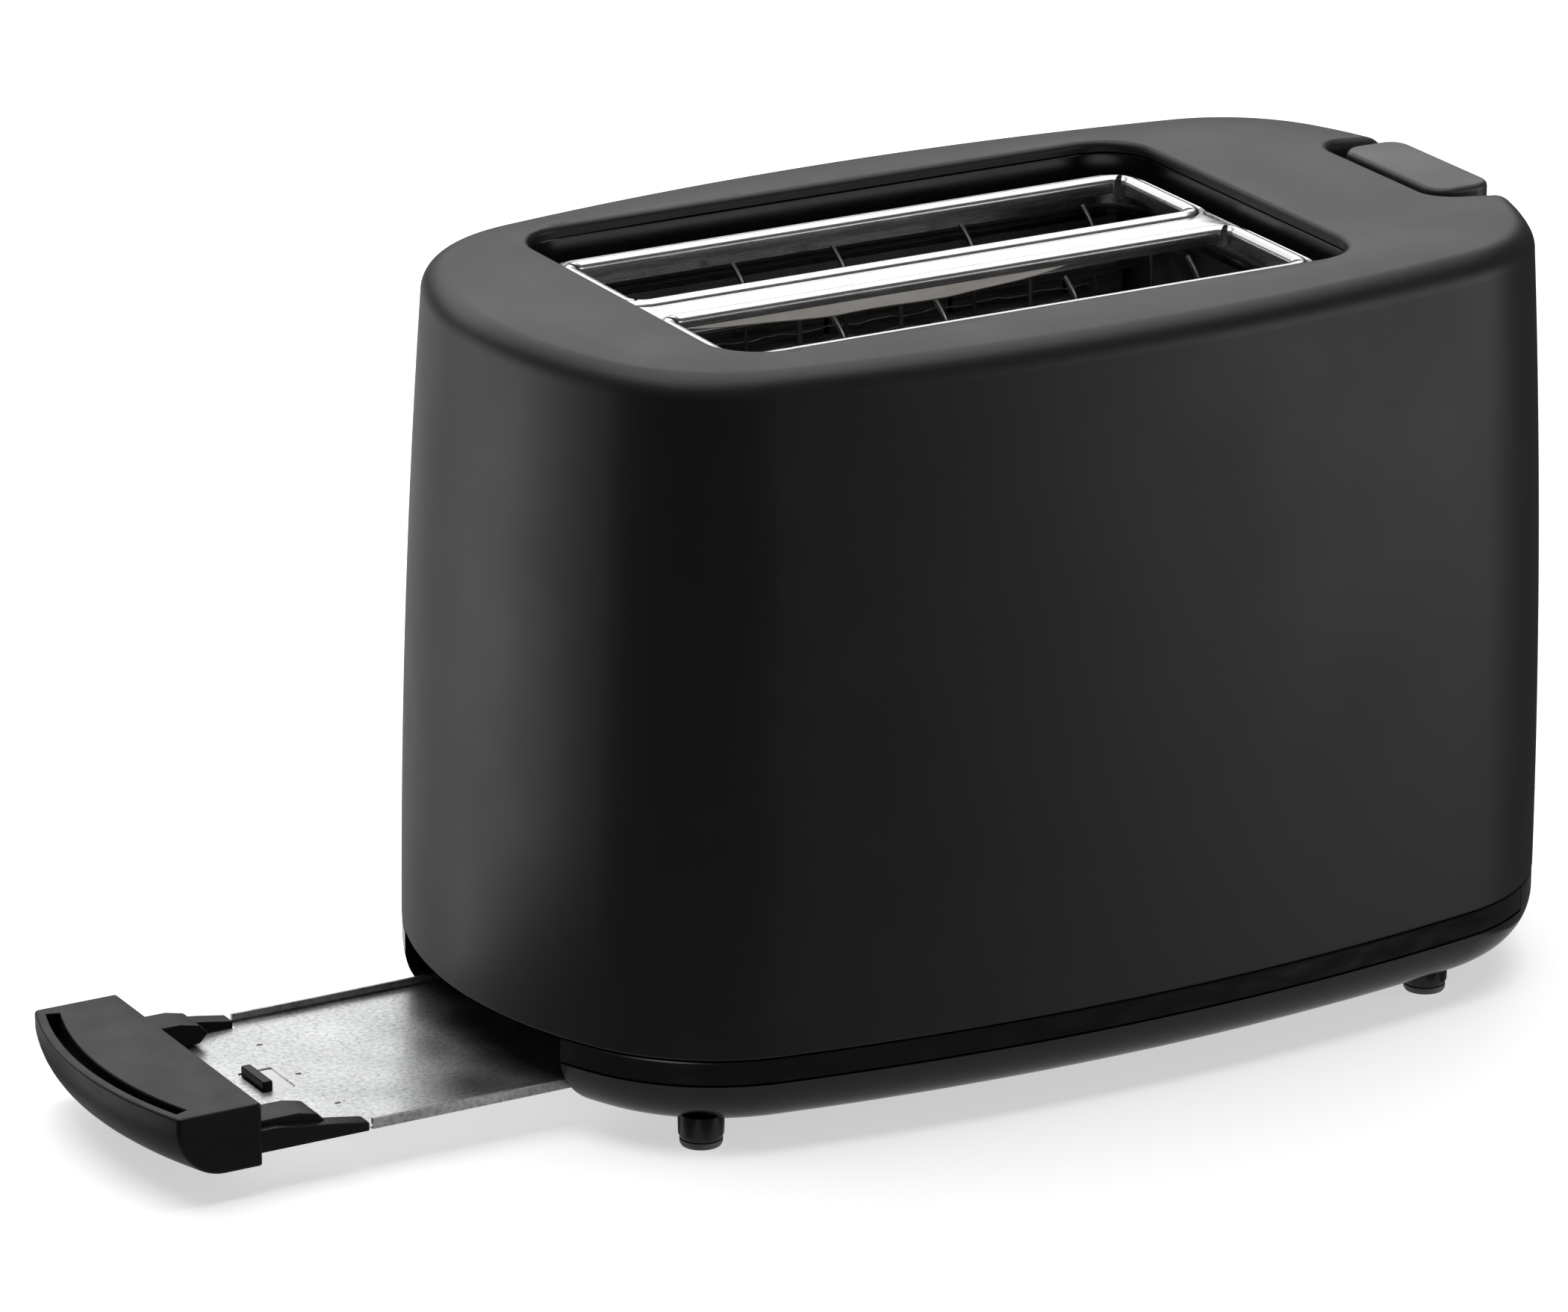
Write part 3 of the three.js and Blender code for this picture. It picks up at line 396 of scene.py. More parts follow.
class Skin:
    """A Principled material whose colour, roughness and relief come from nodes."""

    def __init__(self, name, metallic=0.0, specular=0.5, sheen=0.0):
        self.material = bpy.data.materials.new(name)
        self.material.use_nodes = True
        self.tree = self.material.node_tree
        self.shader = self.tree.nodes["Principled BSDF"]
        self.shader.inputs["Metallic"].default_value = metallic
        self.shader.inputs["Specular IOR Level"].default_value = specular
        self.shader.inputs["Sheen Weight"].default_value = sheen
        self.shader.inputs["Sheen Roughness"].default_value = 0.4
        self.place = self.node("ShaderNodeTexCoord").outputs["Object"]
        self.relief = None

    def node(self, kind, **settings):
        made = self.tree.nodes.new(kind)
        for key, value in settings.items():
            setattr(made, key, value)
        return made

    def link(self, output, socket):
        self.tree.links.new(output, socket)
        return self

    def stretched(self, stretch):
        mapping = self.node("ShaderNodeMapping")
        mapping.inputs["Scale"].default_value = stretch
        self.link(self.place, mapping.inputs["Vector"])
        return mapping.outputs["Vector"]

    def noise(self, scale, detail=3.0, stretch=(1, 1, 1), roughness=0.5):
        made = self.node("ShaderNodeTexNoise")
        made.inputs["Scale"].default_value = scale
        made.inputs["Detail"].default_value = detail
        made.inputs["Roughness"].default_value = roughness
        self.link(self.stretched(stretch), made.inputs["Vector"])
        return made.outputs["Fac"]

    def cells(self, scale, randomness=1.0):
        made = self.node("ShaderNodeTexVoronoi")
        made.inputs["Scale"].default_value = scale
        made.inputs["Randomness"].default_value = randomness
        self.link(self.place, made.inputs["Vector"])
        return made.outputs["Distance"]

    def level_bands(self, scale):
        made = self.node("ShaderNodeTexWave", bands_direction="Z")
        made.inputs["Scale"].default_value = scale
        self.link(self.place, made.inputs["Vector"])
        return made.outputs["Fac"]

    def colour(self, pattern, *stops):
        """Stops are (position, grey or rgb)."""
        ramp = self.node("ShaderNodeValToRGB")
        while len(ramp.color_ramp.elements) < len(stops):
            ramp.color_ramp.elements.new(0.5)
        for element, (position, tone) in zip(ramp.color_ramp.elements, stops):
            element.position = position
            rgb = (tone,) * 3 if isinstance(tone, (int, float)) else tone
            element.color = (*rgb, 1)
        self.link(pattern, ramp.inputs["Fac"])
        return self.link(ramp.outputs["Color"], self.shader.inputs["Base Color"])

    def rough(self, pattern, low, high, start=0.3, end=0.7):
        span_node = self.node("ShaderNodeMapRange")
        for key, value in (("From Min", start), ("From Max", end), ("To Min", low), ("To Max", high)):
            span_node.inputs[key].default_value = value
        self.link(pattern, span_node.inputs["Value"])
        return self.link(span_node.outputs["Result"], self.shader.inputs["Roughness"])

    def bump(self, pattern, height, strength=1.0):
        """Adds relief of a height in millimetres."""
        made = self.node("ShaderNodeBump")
        made.inputs["Strength"].default_value = strength
        made.inputs["Distance"].default_value = height * MM
        self.link(pattern, made.inputs["Height"])
        if self.relief:
            self.link(self.relief, made.inputs["Normal"])
        self.relief = made.outputs["Normal"]
        return self.link(self.relief, self.shader.inputs["Normal"])


def matte_black():
    skin = Skin("soft_touch_black", specular=0.42)
    skin.colour(skin.noise(90, 4), (0.3, 0.0085), (0.7, 0.0105))
    skin.rough(skin.noise(35, 5), 0.42, 0.48)
    skin.bump(skin.cells(2600), 0.012, 0.35)
    return skin.bump(skin.noise(900, 2), 0.01, 0.4).material


def gloss_black(name="gloss_black_moulding", specular=0.5, low=0.10, high=0.22):
    skin = Skin(name, specular=specular)
    skin.colour(skin.noise(60, 4), (0.3, 0.0055), (0.7, 0.0085))
    skin.rough(skin.noise(120, 6, (1, 1, 3)), low, high)
    return skin.bump(skin.noise(140, 2), 0.02, 0.12).material


def liner_black():
    skin = Skin("trench_black", specular=0.5)
    skin.colour(skin.cells(420), (0.0, 0.05), (0.045, 0.006), (0.6, 0.0045))
    skin.rough(skin.noise(60, 4), 0.2, 0.26)
    return skin.bump(skin.noise(40, 2), 0.02, 0.08).material


def knob_grey():
    skin = Skin("knob_satin_grey", specular=0.5, sheen=0.03)
    skin.colour(skin.noise(160, 4), (0.3, 0.024), (0.7, 0.030))
    skin.rough(skin.noise(50, 4), 0.38, 0.46)
    return skin.bump(skin.cells(3000), 0.01, 0.3).material


def rubber_grey():
    skin = Skin("rubber_pad", specular=0.3)
    skin.colour(skin.noise(400, 4), (0.3, (0.13, 0.13, 0.135)), (0.7, (0.18, 0.18, 0.185)))
    skin.rough(skin.noise(200), 0.7, 0.85)
    return skin.bump(skin.noise(1500), 0.03, 0.5).material


def stainless(name="satin_stainless", tone=0.72, low=0.2, high=0.3, stretch=(1, 40, 40)):
    skin = Skin(name, metallic=1.0)
    skin.colour(skin.noise(70, 4, stretch), (0.3, tone * 0.93), (0.7, tone))
    skin.rough(skin.noise(90, 5, stretch), low, high)
    return skin.bump(skin.noise(160, 3, stretch), 0.004, 0.25).material


def galvanised():
    skin = Skin("galvanised_sheet", metallic=1.0)
    skin.colour(skin.noise(900, 6, roughness=0.75), (0.28, (0.25, 0.255, 0.26)),
                (0.5, (0.60, 0.605, 0.61)), (0.72, (0.76, 0.765, 0.77)))
    skin.rough(skin.cells(60), 0.27, 0.42, 0.0, 0.7)
    skin.bump(skin.noise(700, 4), 0.02, 0.35)
    return skin.bump(skin.noise(18, 2), 0.4, 0.25).material


def dark_steel():
    skin = Skin("oxidised_steel", metallic=1.0)
    skin.colour(skin.noise(120, 6), (0.3, (0.045, 0.043, 0.042)), (0.7, (0.10, 0.096, 0.092)))
    skin.rough(skin.noise(200, 4), 0.38, 0.55)
    return skin.bump(skin.noise(500, 4), 0.02, 0.4).material


def reflector_steel():
    skin = Skin("oven_sheet", metallic=1.0)
    skin.colour(skin.noise(80, 6), (0.3, (0.34, 0.335, 0.33)), (0.7, (0.48, 0.475, 0.47)))
    skin.rough(skin.noise(150, 4), 0.35, 0.55)
    return skin.bump(skin.noise(500, 4), 0.02, 0.4).material


def mica():
    skin = Skin("mica_board", specular=0.4)
    skin.colour(skin.noise(90, 8, (0.5, 1, 9), 0.65), (0.3, (0.035, 0.034, 0.032)),
                (0.55, (0.085, 0.082, 0.078)), (0.8, (0.20, 0.19, 0.18)))
    skin.rough(skin.noise(200, 5, (1, 1, 8)), 0.35, 0.65)
    return skin.bump(skin.noise(260, 6, (0.25, 1, 5)), 0.25, 0.8).material


# Pale sheet colour that is painted light: it stands for light falling on the slot flange.
def painted_light_strip():
    skin = Skin("flange_painted_light", metallic=0.1)
    skin.colour(skin.noise(160, 6, (0.3, 1, 1), 0.65), (0.3, (0.70, 0.65, 0.60)),
                (0.7, (0.90, 0.87, 0.83)))
    skin.rough(skin.noise(300, 4), 0.45, 0.65)
    return skin.bump(skin.noise(500, 5), 0.03, 0.5).material


def nichrome():
    skin = Skin("nichrome_ribbon", metallic=0.7)
    skin.colour(skin.noise(300, 4), (0.3, (0.10, 0.097, 0.094)), (0.7, (0.26, 0.25, 0.24)))
    skin.rough(skin.noise(400, 3), 0.5, 0.7)
    return skin.bump(skin.noise(900, 3), 0.01, 0.4).material


def copper():
    skin = Skin("enamelled_copper", metallic=1.0)
    skin.colour(skin.noise(200, 3), (0.3, (0.45, 0.17, 0.07)), (0.7, (0.66, 0.28, 0.13)))
    skin.rough(skin.noise(300), 0.25, 0.4)
    return skin.bump(skin.level_bands(320), 0.15, 0.8).material


def board_green():
    skin = Skin("circuit_board", specular=0.5)
    skin.colour(skin.cells(160, 0.4), (0.02, (0.35, 0.33, 0.25)),
                (0.1, (0.01, 0.07, 0.03)), (0.9, (0.015, 0.10, 0.045)))
    skin.rough(skin.noise(300), 0.3, 0.5)
    return skin.bump(skin.noise(700), 0.03, 0.4).material


def nylon():
    skin = Skin("natural_nylon", specular=0.5)
    skin.colour(skin.noise(150, 4), (0.3, (0.62, 0.60, 0.54)), (0.7, (0.74, 0.72, 0.66)))
    skin.rough(skin.noise(300), 0.4, 0.55)
    return skin.bump(skin.noise(900), 0.01, 0.4).material


def print_grey():
    skin = Skin("printed_marks", specular=0.4)
    skin.colour(skin.noise(900, 3), (0.3, 0.50), (0.7, 0.62))
    skin.rough(skin.noise(500), 0.5, 0.6)
    return skin.bump(skin.noise(1500), 0.005, 0.4).material


def floor_white(name="studio_floor", glow=0.55):
    skin = Skin(name, specular=0.1)
    skin.colour(skin.noise(3, 2), (0.3, 0.93), (0.7, 0.94))
    skin.shader.inputs["Emission Color"].default_value = (1, 1, 1, 1)
    skin.shader.inputs["Emission Strength"].default_value = glow
    return skin.rough(skin.noise(8), 0.8, 0.9).material


SKINS = {make.__name__: make() for make in (
    matte_black, gloss_black, knob_grey, rubber_grey, stainless, galvanised, dark_steel, mica,
    nichrome, copper, board_green, nylon)}
TRENCH = liner_black()
WIRE = stainless("drawn_wire", 0.62, 0.16, 0.26, (1, 1, 1))
# painted light for the slot flange
PAINTED_LIGHT_STRIP = painted_light_strip()
OVEN = reflector_steel()
PRINT = print_grey()
HANDLE_BLACK = gloss_black("satin_black_handle", 0.2, 0.34, 0.42)


# ---- Housing ---------------------------------------------------------------------------------

LIP = 1.5  # fillet of the opening's edge
NOTCH = 2.8  # fillet of the lever bay's edge
TANGENT = 70  # degrees that a fillet turns before it leaves the surface
BAY_WALL = 2.2
ARM_SLOT, ARM_SLOT_Z = 2, (87.8, 171.1)  # half width and heights of the lever arm's slot
DIAL_BORE, DIAL_Z = 13.3, (DIAL[0].z + DIAL[1].z) / 2
KEY_HOLE, BEYOND = 128, 160  # X where the holes in the lever end's wall start and end


def fillet(radius):
    """(grow, sunk) points of an edge fillet, from the wall to just above the surface."""
    made = []
    for i in range(7):
        a = math.radians(TANGENT * i / 6)
        made.append((radius * (1 - math.cos(a)), radius * (1 - math.sin(a))))
    a = math.radians(TANGENT)
    rest = made[-1][1] + 0.4
    return made + [(made[-1][0] + rest * math.tan(a), made[-1][1] - rest)]


def bay_loop(grow, sunk):
    """A closed line round the lever bay, on the housing's surface lowered by sunk."""
    half, corner = BAY_HALF + grow, 3 + grow
    low, back, plan = BAY_FLOOR - grow, BAY_X - grow, BAY_RADIUS + grow
    side = [(wall_x(y, low, sunk), y, low) for y in (4 * i for i in range(5))]
    for y, z in arc(half - corner, low + corner, corner, -90, 0, 6):
        side.append((wall_x(y, z, sunk), y, z))
    for i in range(1, 13):
        z = low + corner + (SHOULDER_Z - low - corner) * i / 12
        side.append((wall_x(half, z, sunk), half, z))
    bend = turn_at(back + plan, half, sunk)
    side += [shoulder_point(half, sunk, bend * i / 14) for i in range(1, 15)]
    top = arc(back + plan, half - plan, plan, 90, 180, 8)[1:]
    top += [(back, (half - plan) * i / 4) for i in (3, 2, 1, 0)]
    side += [(x, y, shoulder(sunk, turn_at(x, y, sunk))[1]) for x, y in top]
    return side + [(x, -y, z) for x, y, z in reversed(side[1:-1])]


def bay_edge():
    section = fillet(NOTCH)
    outside = section[-1]
    section += [(outside[0], -4), (-1.5, -4), (-1.5, NOTCH)]
    return loft([bay_loop(grow, sunk) for grow, sunk in section], closed=True)


def bay_room(grow=0.0):
    rect, radius = (BAY_X - grow, 200, -BAY_HALF - grow, BAY_HALF + grow), BAY_RADIUS + grow
    rings = [at_z(rounded(rect, radius, -3 * (1 - math.sin(t))), BAY_FLOOR - grow + 3 - 3 * math.cos(t))
             for t in quarter_turn(5)]
    return loft(rings + [at_z(rounded(rect, radius), 200)])


def opening_cut():
    levels = [(0, 150)] + [(grow, TOP_Z - sunk) for grow, sunk in fillet(LIP)]
    levels.append((levels[-1][0], TOP_Z + 5))
    return loft([at_z(rounded(OPENING, OPENING_RADIUS, grow, 12), z) for grow, z in levels])


def housing():
    levels = housing_levels(0, SEAM_Z, 26, 34, brim=0.6)
    edge = levels[-1][0]
    levels += [(edge + 1.2, TOP_Z), (edge + 4, TOP_Z)]
    shell = mesh_object("housing", body_loft(levels))
    inner = body_loft(housing_levels(WALL, SEAM_Z - 1, 12, 10))
    hollow = taken(cut(mesh_object("hollow", inner), bay_room(BAY_WALL)))
    cut(shell, hollow, bay_room(), bay_edge(), opening_cut(),
        block(BAY_X - 5, BAY_X + 5, -ARM_SLOT, ARM_SLOT, *ARM_SLOT_Z),
        rod(DIAL_BORE, KEY_HOLE, BEYOND, 64, "x", (0, DIAL_Z)))
    for name in ("cancel", "reheat", "defrost"):
        low, high = span(f"button_{name}")
        mid, z = (low.y + high.y) / 2, (low.z + high.z) / 2
        cut(shell, slab((mid - 6.9, mid + 6.9, z - 3.9, z + 3.9), 1.4, KEY_HOLE, BEYOND, 0, 0, at_x))
    finish(shell, "chassis", "matte_black", "housing_shell")


def trench():
    top, floor = LINER[1].z, LINER[0].z
    hole = (-72.6, 72.6, -41.4, 41.4)
    profile = [(OPENING, OPENING_RADIUS, g, z) for g, z in (
        (1.4, floor), (1.4, top - 1.2), (4, top - 1.2), (4, top), (0.5, top), (0.15, top - 0.15),
        (0, top - 0.5), (0, floor + 3.4))]
    profile += [(OPENING, OPENING_RADIUS, -2 + 2 * math.cos(t), floor + 3.4 - 2 * math.sin(t))
                for t in quarter_turn(5, 1)]
    profile += [(hole, 5, g, floor + up) for g, up in ((0.5, 1.4), (0.1, 1.25), (0, 1), (0, 0))]
    rings = [at_z(rounded(rect, radius, g, 12), z) for rect, radius, g, z in profile]
    obj = mesh_object("trench", loft(rings, closed=True))
    finish(obj, "chassis", "gloss_black", "trench_liner", skin=TRENCH)


def slot_rect(y):
    half = SLOT_LENGTH / 2
    return (-half, half, y - SLOT_HALF, y + SLOT_HALF)


def corner_split(sx, y, sy):
    """Wedge that parts the bead at a slot's corner and opens towards the slot."""
    corner = Vector((sx * (SLOT_LENGTH / 2 - 0.9), y + sy * (SLOT_HALF - 0.9)))
    out = Vector((sx, sy)).normalized()
    across = Vector((-out.y, out.x))
    outline = [corner - out * 2 + across * 1.0, corner + out * 1.4 + across * 0.45,
               corner + out * 2.2, corner + out * 1.4 - across * 0.45, corner - out * 2 - across * 1.0]
    return loft([[(p.x, p.y, z) for p in outline] for z in (PLATE_Z - 12, PLATE_Z + 3)])


def slot_flange():
    """Slanted strip under the web's front bead, deepest in the middle and tapered to its ends; its pale
    colour is painted light on a real flange.
    """
    top_y = -SLOT_Y + SLOT_HALF
    rings = []
    for i in range(61):
        t = i / 60
        x = -67 + 96 * t
        deep = min(1.0, 2.6 * t, 3.2 * (1 - t)) ** 0.8
        # the wavy lower edge follows where shadow starts on the flange; the shaded rest of the flange is
        # left out
        low = 1.2 + 2.4 * deep + 0.14 * math.sin(9 * t) + 0.08 * math.sin(23 * t)
        lean = low * 0.4
        rings.append([(x, top_y - 0.02, PLATE_Z - 0.1), (x, top_y - lean, PLATE_Z - low),
                      (x, top_y - lean + 0.25, PLATE_Z - low - 0.3), (x, top_y + 0.3, PLATE_Z - 0.4)])
    finish(mesh_object("slot_flange", loft(rings)), "chassis", "stainless", skin=PAINTED_LIGHT_STRIP)


def slotted_plate():
    """Flat sheet with a bent outer flange and a rolled bead round each slot, then thickened."""
    outline = (PLATE[0].x, PLATE[1].x, PLATE[0].y, PLATE[1].y)
    z, bend = PLATE_Z, 1.6
    levels = [(-bend, z)]
    levels += [(-bend + bend * math.sin(t), z - bend + bend * math.cos(t)) for t in quarter_turn(6, 1)]
    levels.append((0, PLATE[0].z + 2))
    loops = [[at_z(rounded(outline, 8, grow, 10), height) for grow, height in levels]]
    for y in (-SLOT_Y, SLOT_Y):
        rect = slot_rect(y)
        bead = [(5.2, 0), (4.5, -0.04), (4.0, -0.3), (3.5, -0.42), (3.1, -0.3)]
        bead += [(1.4 + 1.4 * math.cos(t), 1.05 * math.sin(t))
                 for t in (math.pi * (10 + 170 * i / 11) / 180 for i in range(12))]
        bead += [(0, -0.9), (0, -2.2)]
        strip = []
        for grow, up in bead:
            ring = rounded(rect, SLOT_RADIUS, grow, 10)
            # the groove outside the bead fades out along the slot's front edge
            strip.append([(px, py, z + (up * 0.2 if grow > 3 and py < y else up)) for px, py in ring])
        loops.append(strip)
    points, faces, rims = [], [], []
    for strip in loops:
        base, count = len(points), len(strip[0])
        rims.append((base, [Vector(p) for p in strip[0]]))
        points += [p for ring in strip for p in ring]
        for i in range(len(strip) - 1):
            for j in range(count):
                k = (j + 1) % count
                a, b = base + i * count, base + (i + 1) * count
                faces.append((a + j, b + j, b + k, a + k))
    flat = [base + i for base, ring in rims for i in range(len(ring))]
    for triangle in tessellate_polygon([ring for _, ring in rims]):
        faces.append(tuple(flat[i] for i in triangle))
    obj = mesh_object("slotted_plate", (points, faces))
    top = max(obj.data.polygons, key=lambda p: p.area)
    if top.normal.z < 0:
        obj.data.flip_normals()
    solidify = obj.modifiers.new("sheet", "SOLIDIFY")
    solidify.thickness = 0.5 * MM
    solidify.offset = -1
    apply_modifiers(obj)
    cut(obj, *[corner_split(sx, y, sy) for y in (-SLOT_Y, SLOT_Y) for sx, sy in QUADRANTS])
    finish(obj, "chassis", "stainless", "top_plate", angle=40)


# ---- Base ------------------------------------------------------------------------------------

def skirt():
    low, high = PAN_SEAM_Z + 0.3, SEAM_Z - 0.3
    levels = [(BASE_INSET + 0.3, low), (BASE_INSET, low + 0.3), (BASE_INSET, high - 0.3),
              (BASE_INSET + 0.3, high), (3.2, high), (3.2, SKIRT[1].z), (5.2, SKIRT[1].z), (5.2, low)]
    obj = mesh_object("base_band", body_loft(levels, closed=True))
    cut(obj, block(-300, MOUTH_X, -MOUTH_HALF, MOUTH_HALF, low - 1, high),
        block(PAN_STEP_X - 0.3, 300, -300, 300, low - 1, high))
    finish(obj, "chassis", "gloss_black", "base_skirt")


def pan_levels(sunk, top):
    radius = BASE_RADIUS - sunk
    levels = [(BASE_INSET + BASE_RADIUS - a, BASE_Z + BASE_RADIUS + b)
              for a, b in arc(0, 0, radius, -90, 0, 14)]
    return levels + [(BASE_INSET + sunk, top)]


def pan():
    rise = SEAM_Z - 0.3
    levels = pan_levels(0, rise - 0.3) + [(BASE_INSET + 0.3, rise)]
    levels.insert(0, (levels[0][0] + 3, BASE_Z))
    obj = mesh_object("pan", body_loft(levels))
    hollow = body_loft(pan_levels(2, rise + 1))
    upper = block(-300, PAN_STEP_X, -300, 300, PAN_SEAM_Z, 300)
    mouth = slab((-300, MOUTH_X, -MOUTH_HALF, MOUTH_HALF), 2, -20, 300, 0, 0)
    cut(obj, hollow, upper, mouth)
    peg = [(0, 1.7), (PEG - 1.1, 1.7), (PEG - 0.4, 1.95), (PEG, 2.8), (PEG + 0.12, BASE_Z + 2.4),
           (0, BASE_Z + 2.4)]
    join(obj, *[turned(peg, 48, "z", foot) for foot in FEET])
    well = [(0, 0), (4.1, 0), (3.6, BASE_Z + 0.5), (3.6, BASE_Z + 4), (0, BASE_Z + 4)]
    join(obj, *[rod(4.5, 6, PAN_SEAM_Z, 32, "z", place) for place in SCREWS])
    cut(obj, *[turned(well, 32, "z", place) for place in SCREWS])
    ribs = [block(-90, 76, y - 1, y + 1, BASE_Z + 1, TRAY[0].z - 0.3) for y in (-28, 28)]
    vents = [slab((x - 1.6, x + 1.6, y - 9, y + 9), 1.6, -5, 12, 0, 0)
             for x in range(-60, 61, 12) for y in (-13, 13)]
    join(obj, *ribs)
    cut(obj, *vents)
    finish(obj, "chassis", "gloss_black", "bottom_pan")


def foot_pads():
    for i in range(1, 5):
        low, high = span(f"foot_pad_{i}")
        x, y, r = (low.x + high.x) / 2, (low.y + high.y) / 2, (high.x - low.x) / 2
        profile = [(0, 0.35), (r * 0.45, 0.3), (r * 0.55, 0), (r - 0.9, 0), (r - 0.3, 0.2), (r, 0.8),
                   (r, high.z), (0, high.z)]
        obj = mesh_object(f"pad_{i}", turned(profile, 48, "z", (x, y)))
        finish(obj, "chassis", "rubber_grey", f"foot_pad_{i}")


def screws():
    for i in range(1, 5):
        low, high = span(f"pan_screw_{i}")
        x, y, z = (low.x + high.x) / 2, (low.y + high.y) / 2, low.z
        profile = [(0, z + 0.1), (1.8, z), (2.7, z + 0.35), (3.15, z + 1), (3.15, z + 2.2),
                   (1.4, z + 2.4), (1.4, high.z - 1), (0.7, high.z), (0, high.z)]
        obj = mesh_object(f"screw_{i}", turned(profile, 40, "z", (x, y)))
        cut(obj, block(x - 1.9, x + 1.9, y - 0.35, y + 0.35, z - 1, z + 1.1),
            block(x - 0.35, x + 0.35, y - 1.9, y + 1.9, z - 1, z + 1.1))
        finish(obj, "chassis", "galvanised", f"pan_screw_{i}")


# ---- Oven ------------------------------------------------------------------------------------

BOARD_SLITS = {"front": (-48, -14, 16, 47), "middle": (-56, -22, 9, 40), "back": (-38, -4, 28, 58)}


def mica_boards():
    for name, slits in BOARD_SLITS.items():
        low, high = span(f"mica_board_{name}")
        mid = (low.y + high.y) / 2
        board = mesh_object(f"mica_{name}", block(low.x, high.x, low.y, high.y, low.z, high.z))
        cuts = [block(x - 0.7, x + 0.7, mid - 2, mid + 2, high.z - 12, high.z + 1) for x in slits]
        cuts += [block(x - 0.5, x + 0.5, mid - 2, mid + 2, 60, 118) for x in slits]
        cut(board, *cuts)
        tabs = []
        for x in (s + 15 for s in slits):
            for side in (-1, 1):
                face = mid + side * (high.y - low.y) / 2
                near, far = sorted((face - side * 0.1, face + side * 0.25))
                patch = (x - 4.5, x + 4.5, high.z - 8, high.z - 3.2)
                tabs.append(slab(patch, 0.4, near, far, 0.1, 0.1, at_y))
        join(board, *tabs)
        finish(board, "chassis", "mica", f"mica_board_{name}")


TURNS, WIRE_POINTS = 34, 65


def heater_ribbons():
    for name in ("front", "back", "middle_front", "middle_back"):
        low, high = span(f"heater_ribbon_{name}")
        y = (low.y + high.y) / 2
        runs = []
        for i in range(TURNS):
            z = low.z + (high.z - low.z) * i / (TURNS - 1) + 0.2
            points = []
            for k in range(WIRE_POINTS):
                x = low.x + (high.x - low.x) * k / (WIRE_POINTS - 1)
                wave = 0.28 * math.sin(k * 0.9 + i * 1.7) + 0.15 * math.sin(k * 2.3 + i)
                points.append((x, y, z + wave))
            runs.append(tube(points, 0.17, 6))
        obj = mesh_object(f"windings_{name}", merged(*runs))
        finish(obj, "chassis", "nichrome", f"heater_ribbon_{name}")


GUIDE_WIRES = (-61, -28, -2.5, 30.5, 62)
RAIL_Z, CROSS_Z, BEND_Z = 41, 150, 154.5


def bread_guides():
    for name in ("front_outer", "front_inner", "back_inner", "back_outer"):
        low, high = span(f"bread_guide_{name}")
        side = 1 if name in ("back_outer", "front_inner") else -1
        y = low.y + 1.1 if side > 0 else high.y - 1.1
        wires = []
        for x in GUIDE_WIRES:
            path = [(x, y, RAIL_Z + 6 * i) for i in range(20)]
            path += [(x - 2.2 * t * t, y + side * 2.6 * t * t, BEND_Z + 9.4 * t)
                     for t in (i / 10 for i in range(11))]
            wires.append(tube(path, 0.55, 12))
        rail = [(low.x + (high.x - low.x) * i / 20, y, RAIL_Z) for i in range(21)]
        wires.append(tube(rail, 1.1, 16))
        wires.append(tube([(-66 + 133 * i / 20, y, CROSS_Z) for i in range(21)], 0.8, 12))
        obj = mesh_object(f"guide_{name}", merged(*wires))
        finish(obj, f"guide_{name}", "stainless", f"bread_guide_{name}", skin=WIRE)


def end_guides():
    """Curved dark sheet at the lever end of each slot, with ears that bend up to the plate."""
    for name in ("front", "back"):
        low, high = span(f"slot_end_guide_{name}")
        mid = (low.y + high.y) / 2
        x, foot, bend, reach = high.x, 126, 149, 5.4
        outline = [(x - 0.7, foot), (x, foot), (x, bend)]
        outline += [(x - reach + reach * math.cos(t), bend + 9.2 * math.sin(t))
                    for t in quarter_turn(8, 1)]
        outline += [(x - reach + (reach - 0.7) * math.cos(t), bend + 8.4 * math.sin(t))
                    for t in reversed(quarter_turn(8))]
        obj = mesh_object(f"end_guide_{name}", prism(outline, mid - 9, mid + 9))
        cut(obj, block(x - 8, x + 2, mid - 2, mid + 2, 155.5, 165))
        finish(obj, "chassis", "dark_steel", f"slot_end_guide_{name}", skin=OVEN)


# ---- Lever and racks -------------------------------------------------------------------------

def knob():
    low, high = KNOB
    rect = (low.x, high.x, low.y, high.y)
    levels = [(5, -1.4 * (1 - math.sin(t)), low.z + 1.4 * (1 - math.cos(t))) for t in quarter_turn(5)]
    levels += [(5, -1.3 * (1 - math.cos(t)), high.z - 1.45 + 1.3 * math.sin(t))
               for t in quarter_turn(7)]
    levels += [(8, grow, high.z - 0.15 + up) for grow, up in ((-3, 0.06), (-5, 0.12), (-7, 0.15))]
    rings = [at_z(rounded(rect, radius, grow, 10), z) for radius, grow, z in levels]
    obj = mesh_object("knob", loft(rings))
    cut(obj, block(low.x - 5, 125.3, -1.05, 1.05, 163.5, 171.1))
    finish(obj, "lever", "knob_grey", "lever_knob")


def racks():
    for name in ("front", "back"):
        low, high = span(f"bread_rack_{name}")
        y = (low.y + high.y) / 2
        shelf = 120
        web = mesh_object(f"rack_{name}", block(low.x, high.x - 1.2, y - 0.5, y + 0.5, 114, shelf))
        fingers = []
        for x in (-60, -30, 0, 30, 60):
            path = [(x, y - 6 + i, shelf + 0.9 * math.cos(math.pi * (i - 6) / 6)) for i in range(13)]
            fingers.append(tube(path, 0.7, 10))
        join(web, block(high.x - 1.3, high.x, y - 4, y + 4, low.z, shelf))
        bevel(web, 0.2)
        obj = mesh_object(f"rack_{name}", merged(taken(web), *fingers))
        finish(obj, "lever", "stainless", f"bread_rack_{name}", skin=WIRE)


# ---- Controls --------------------------------------------------------------------------------

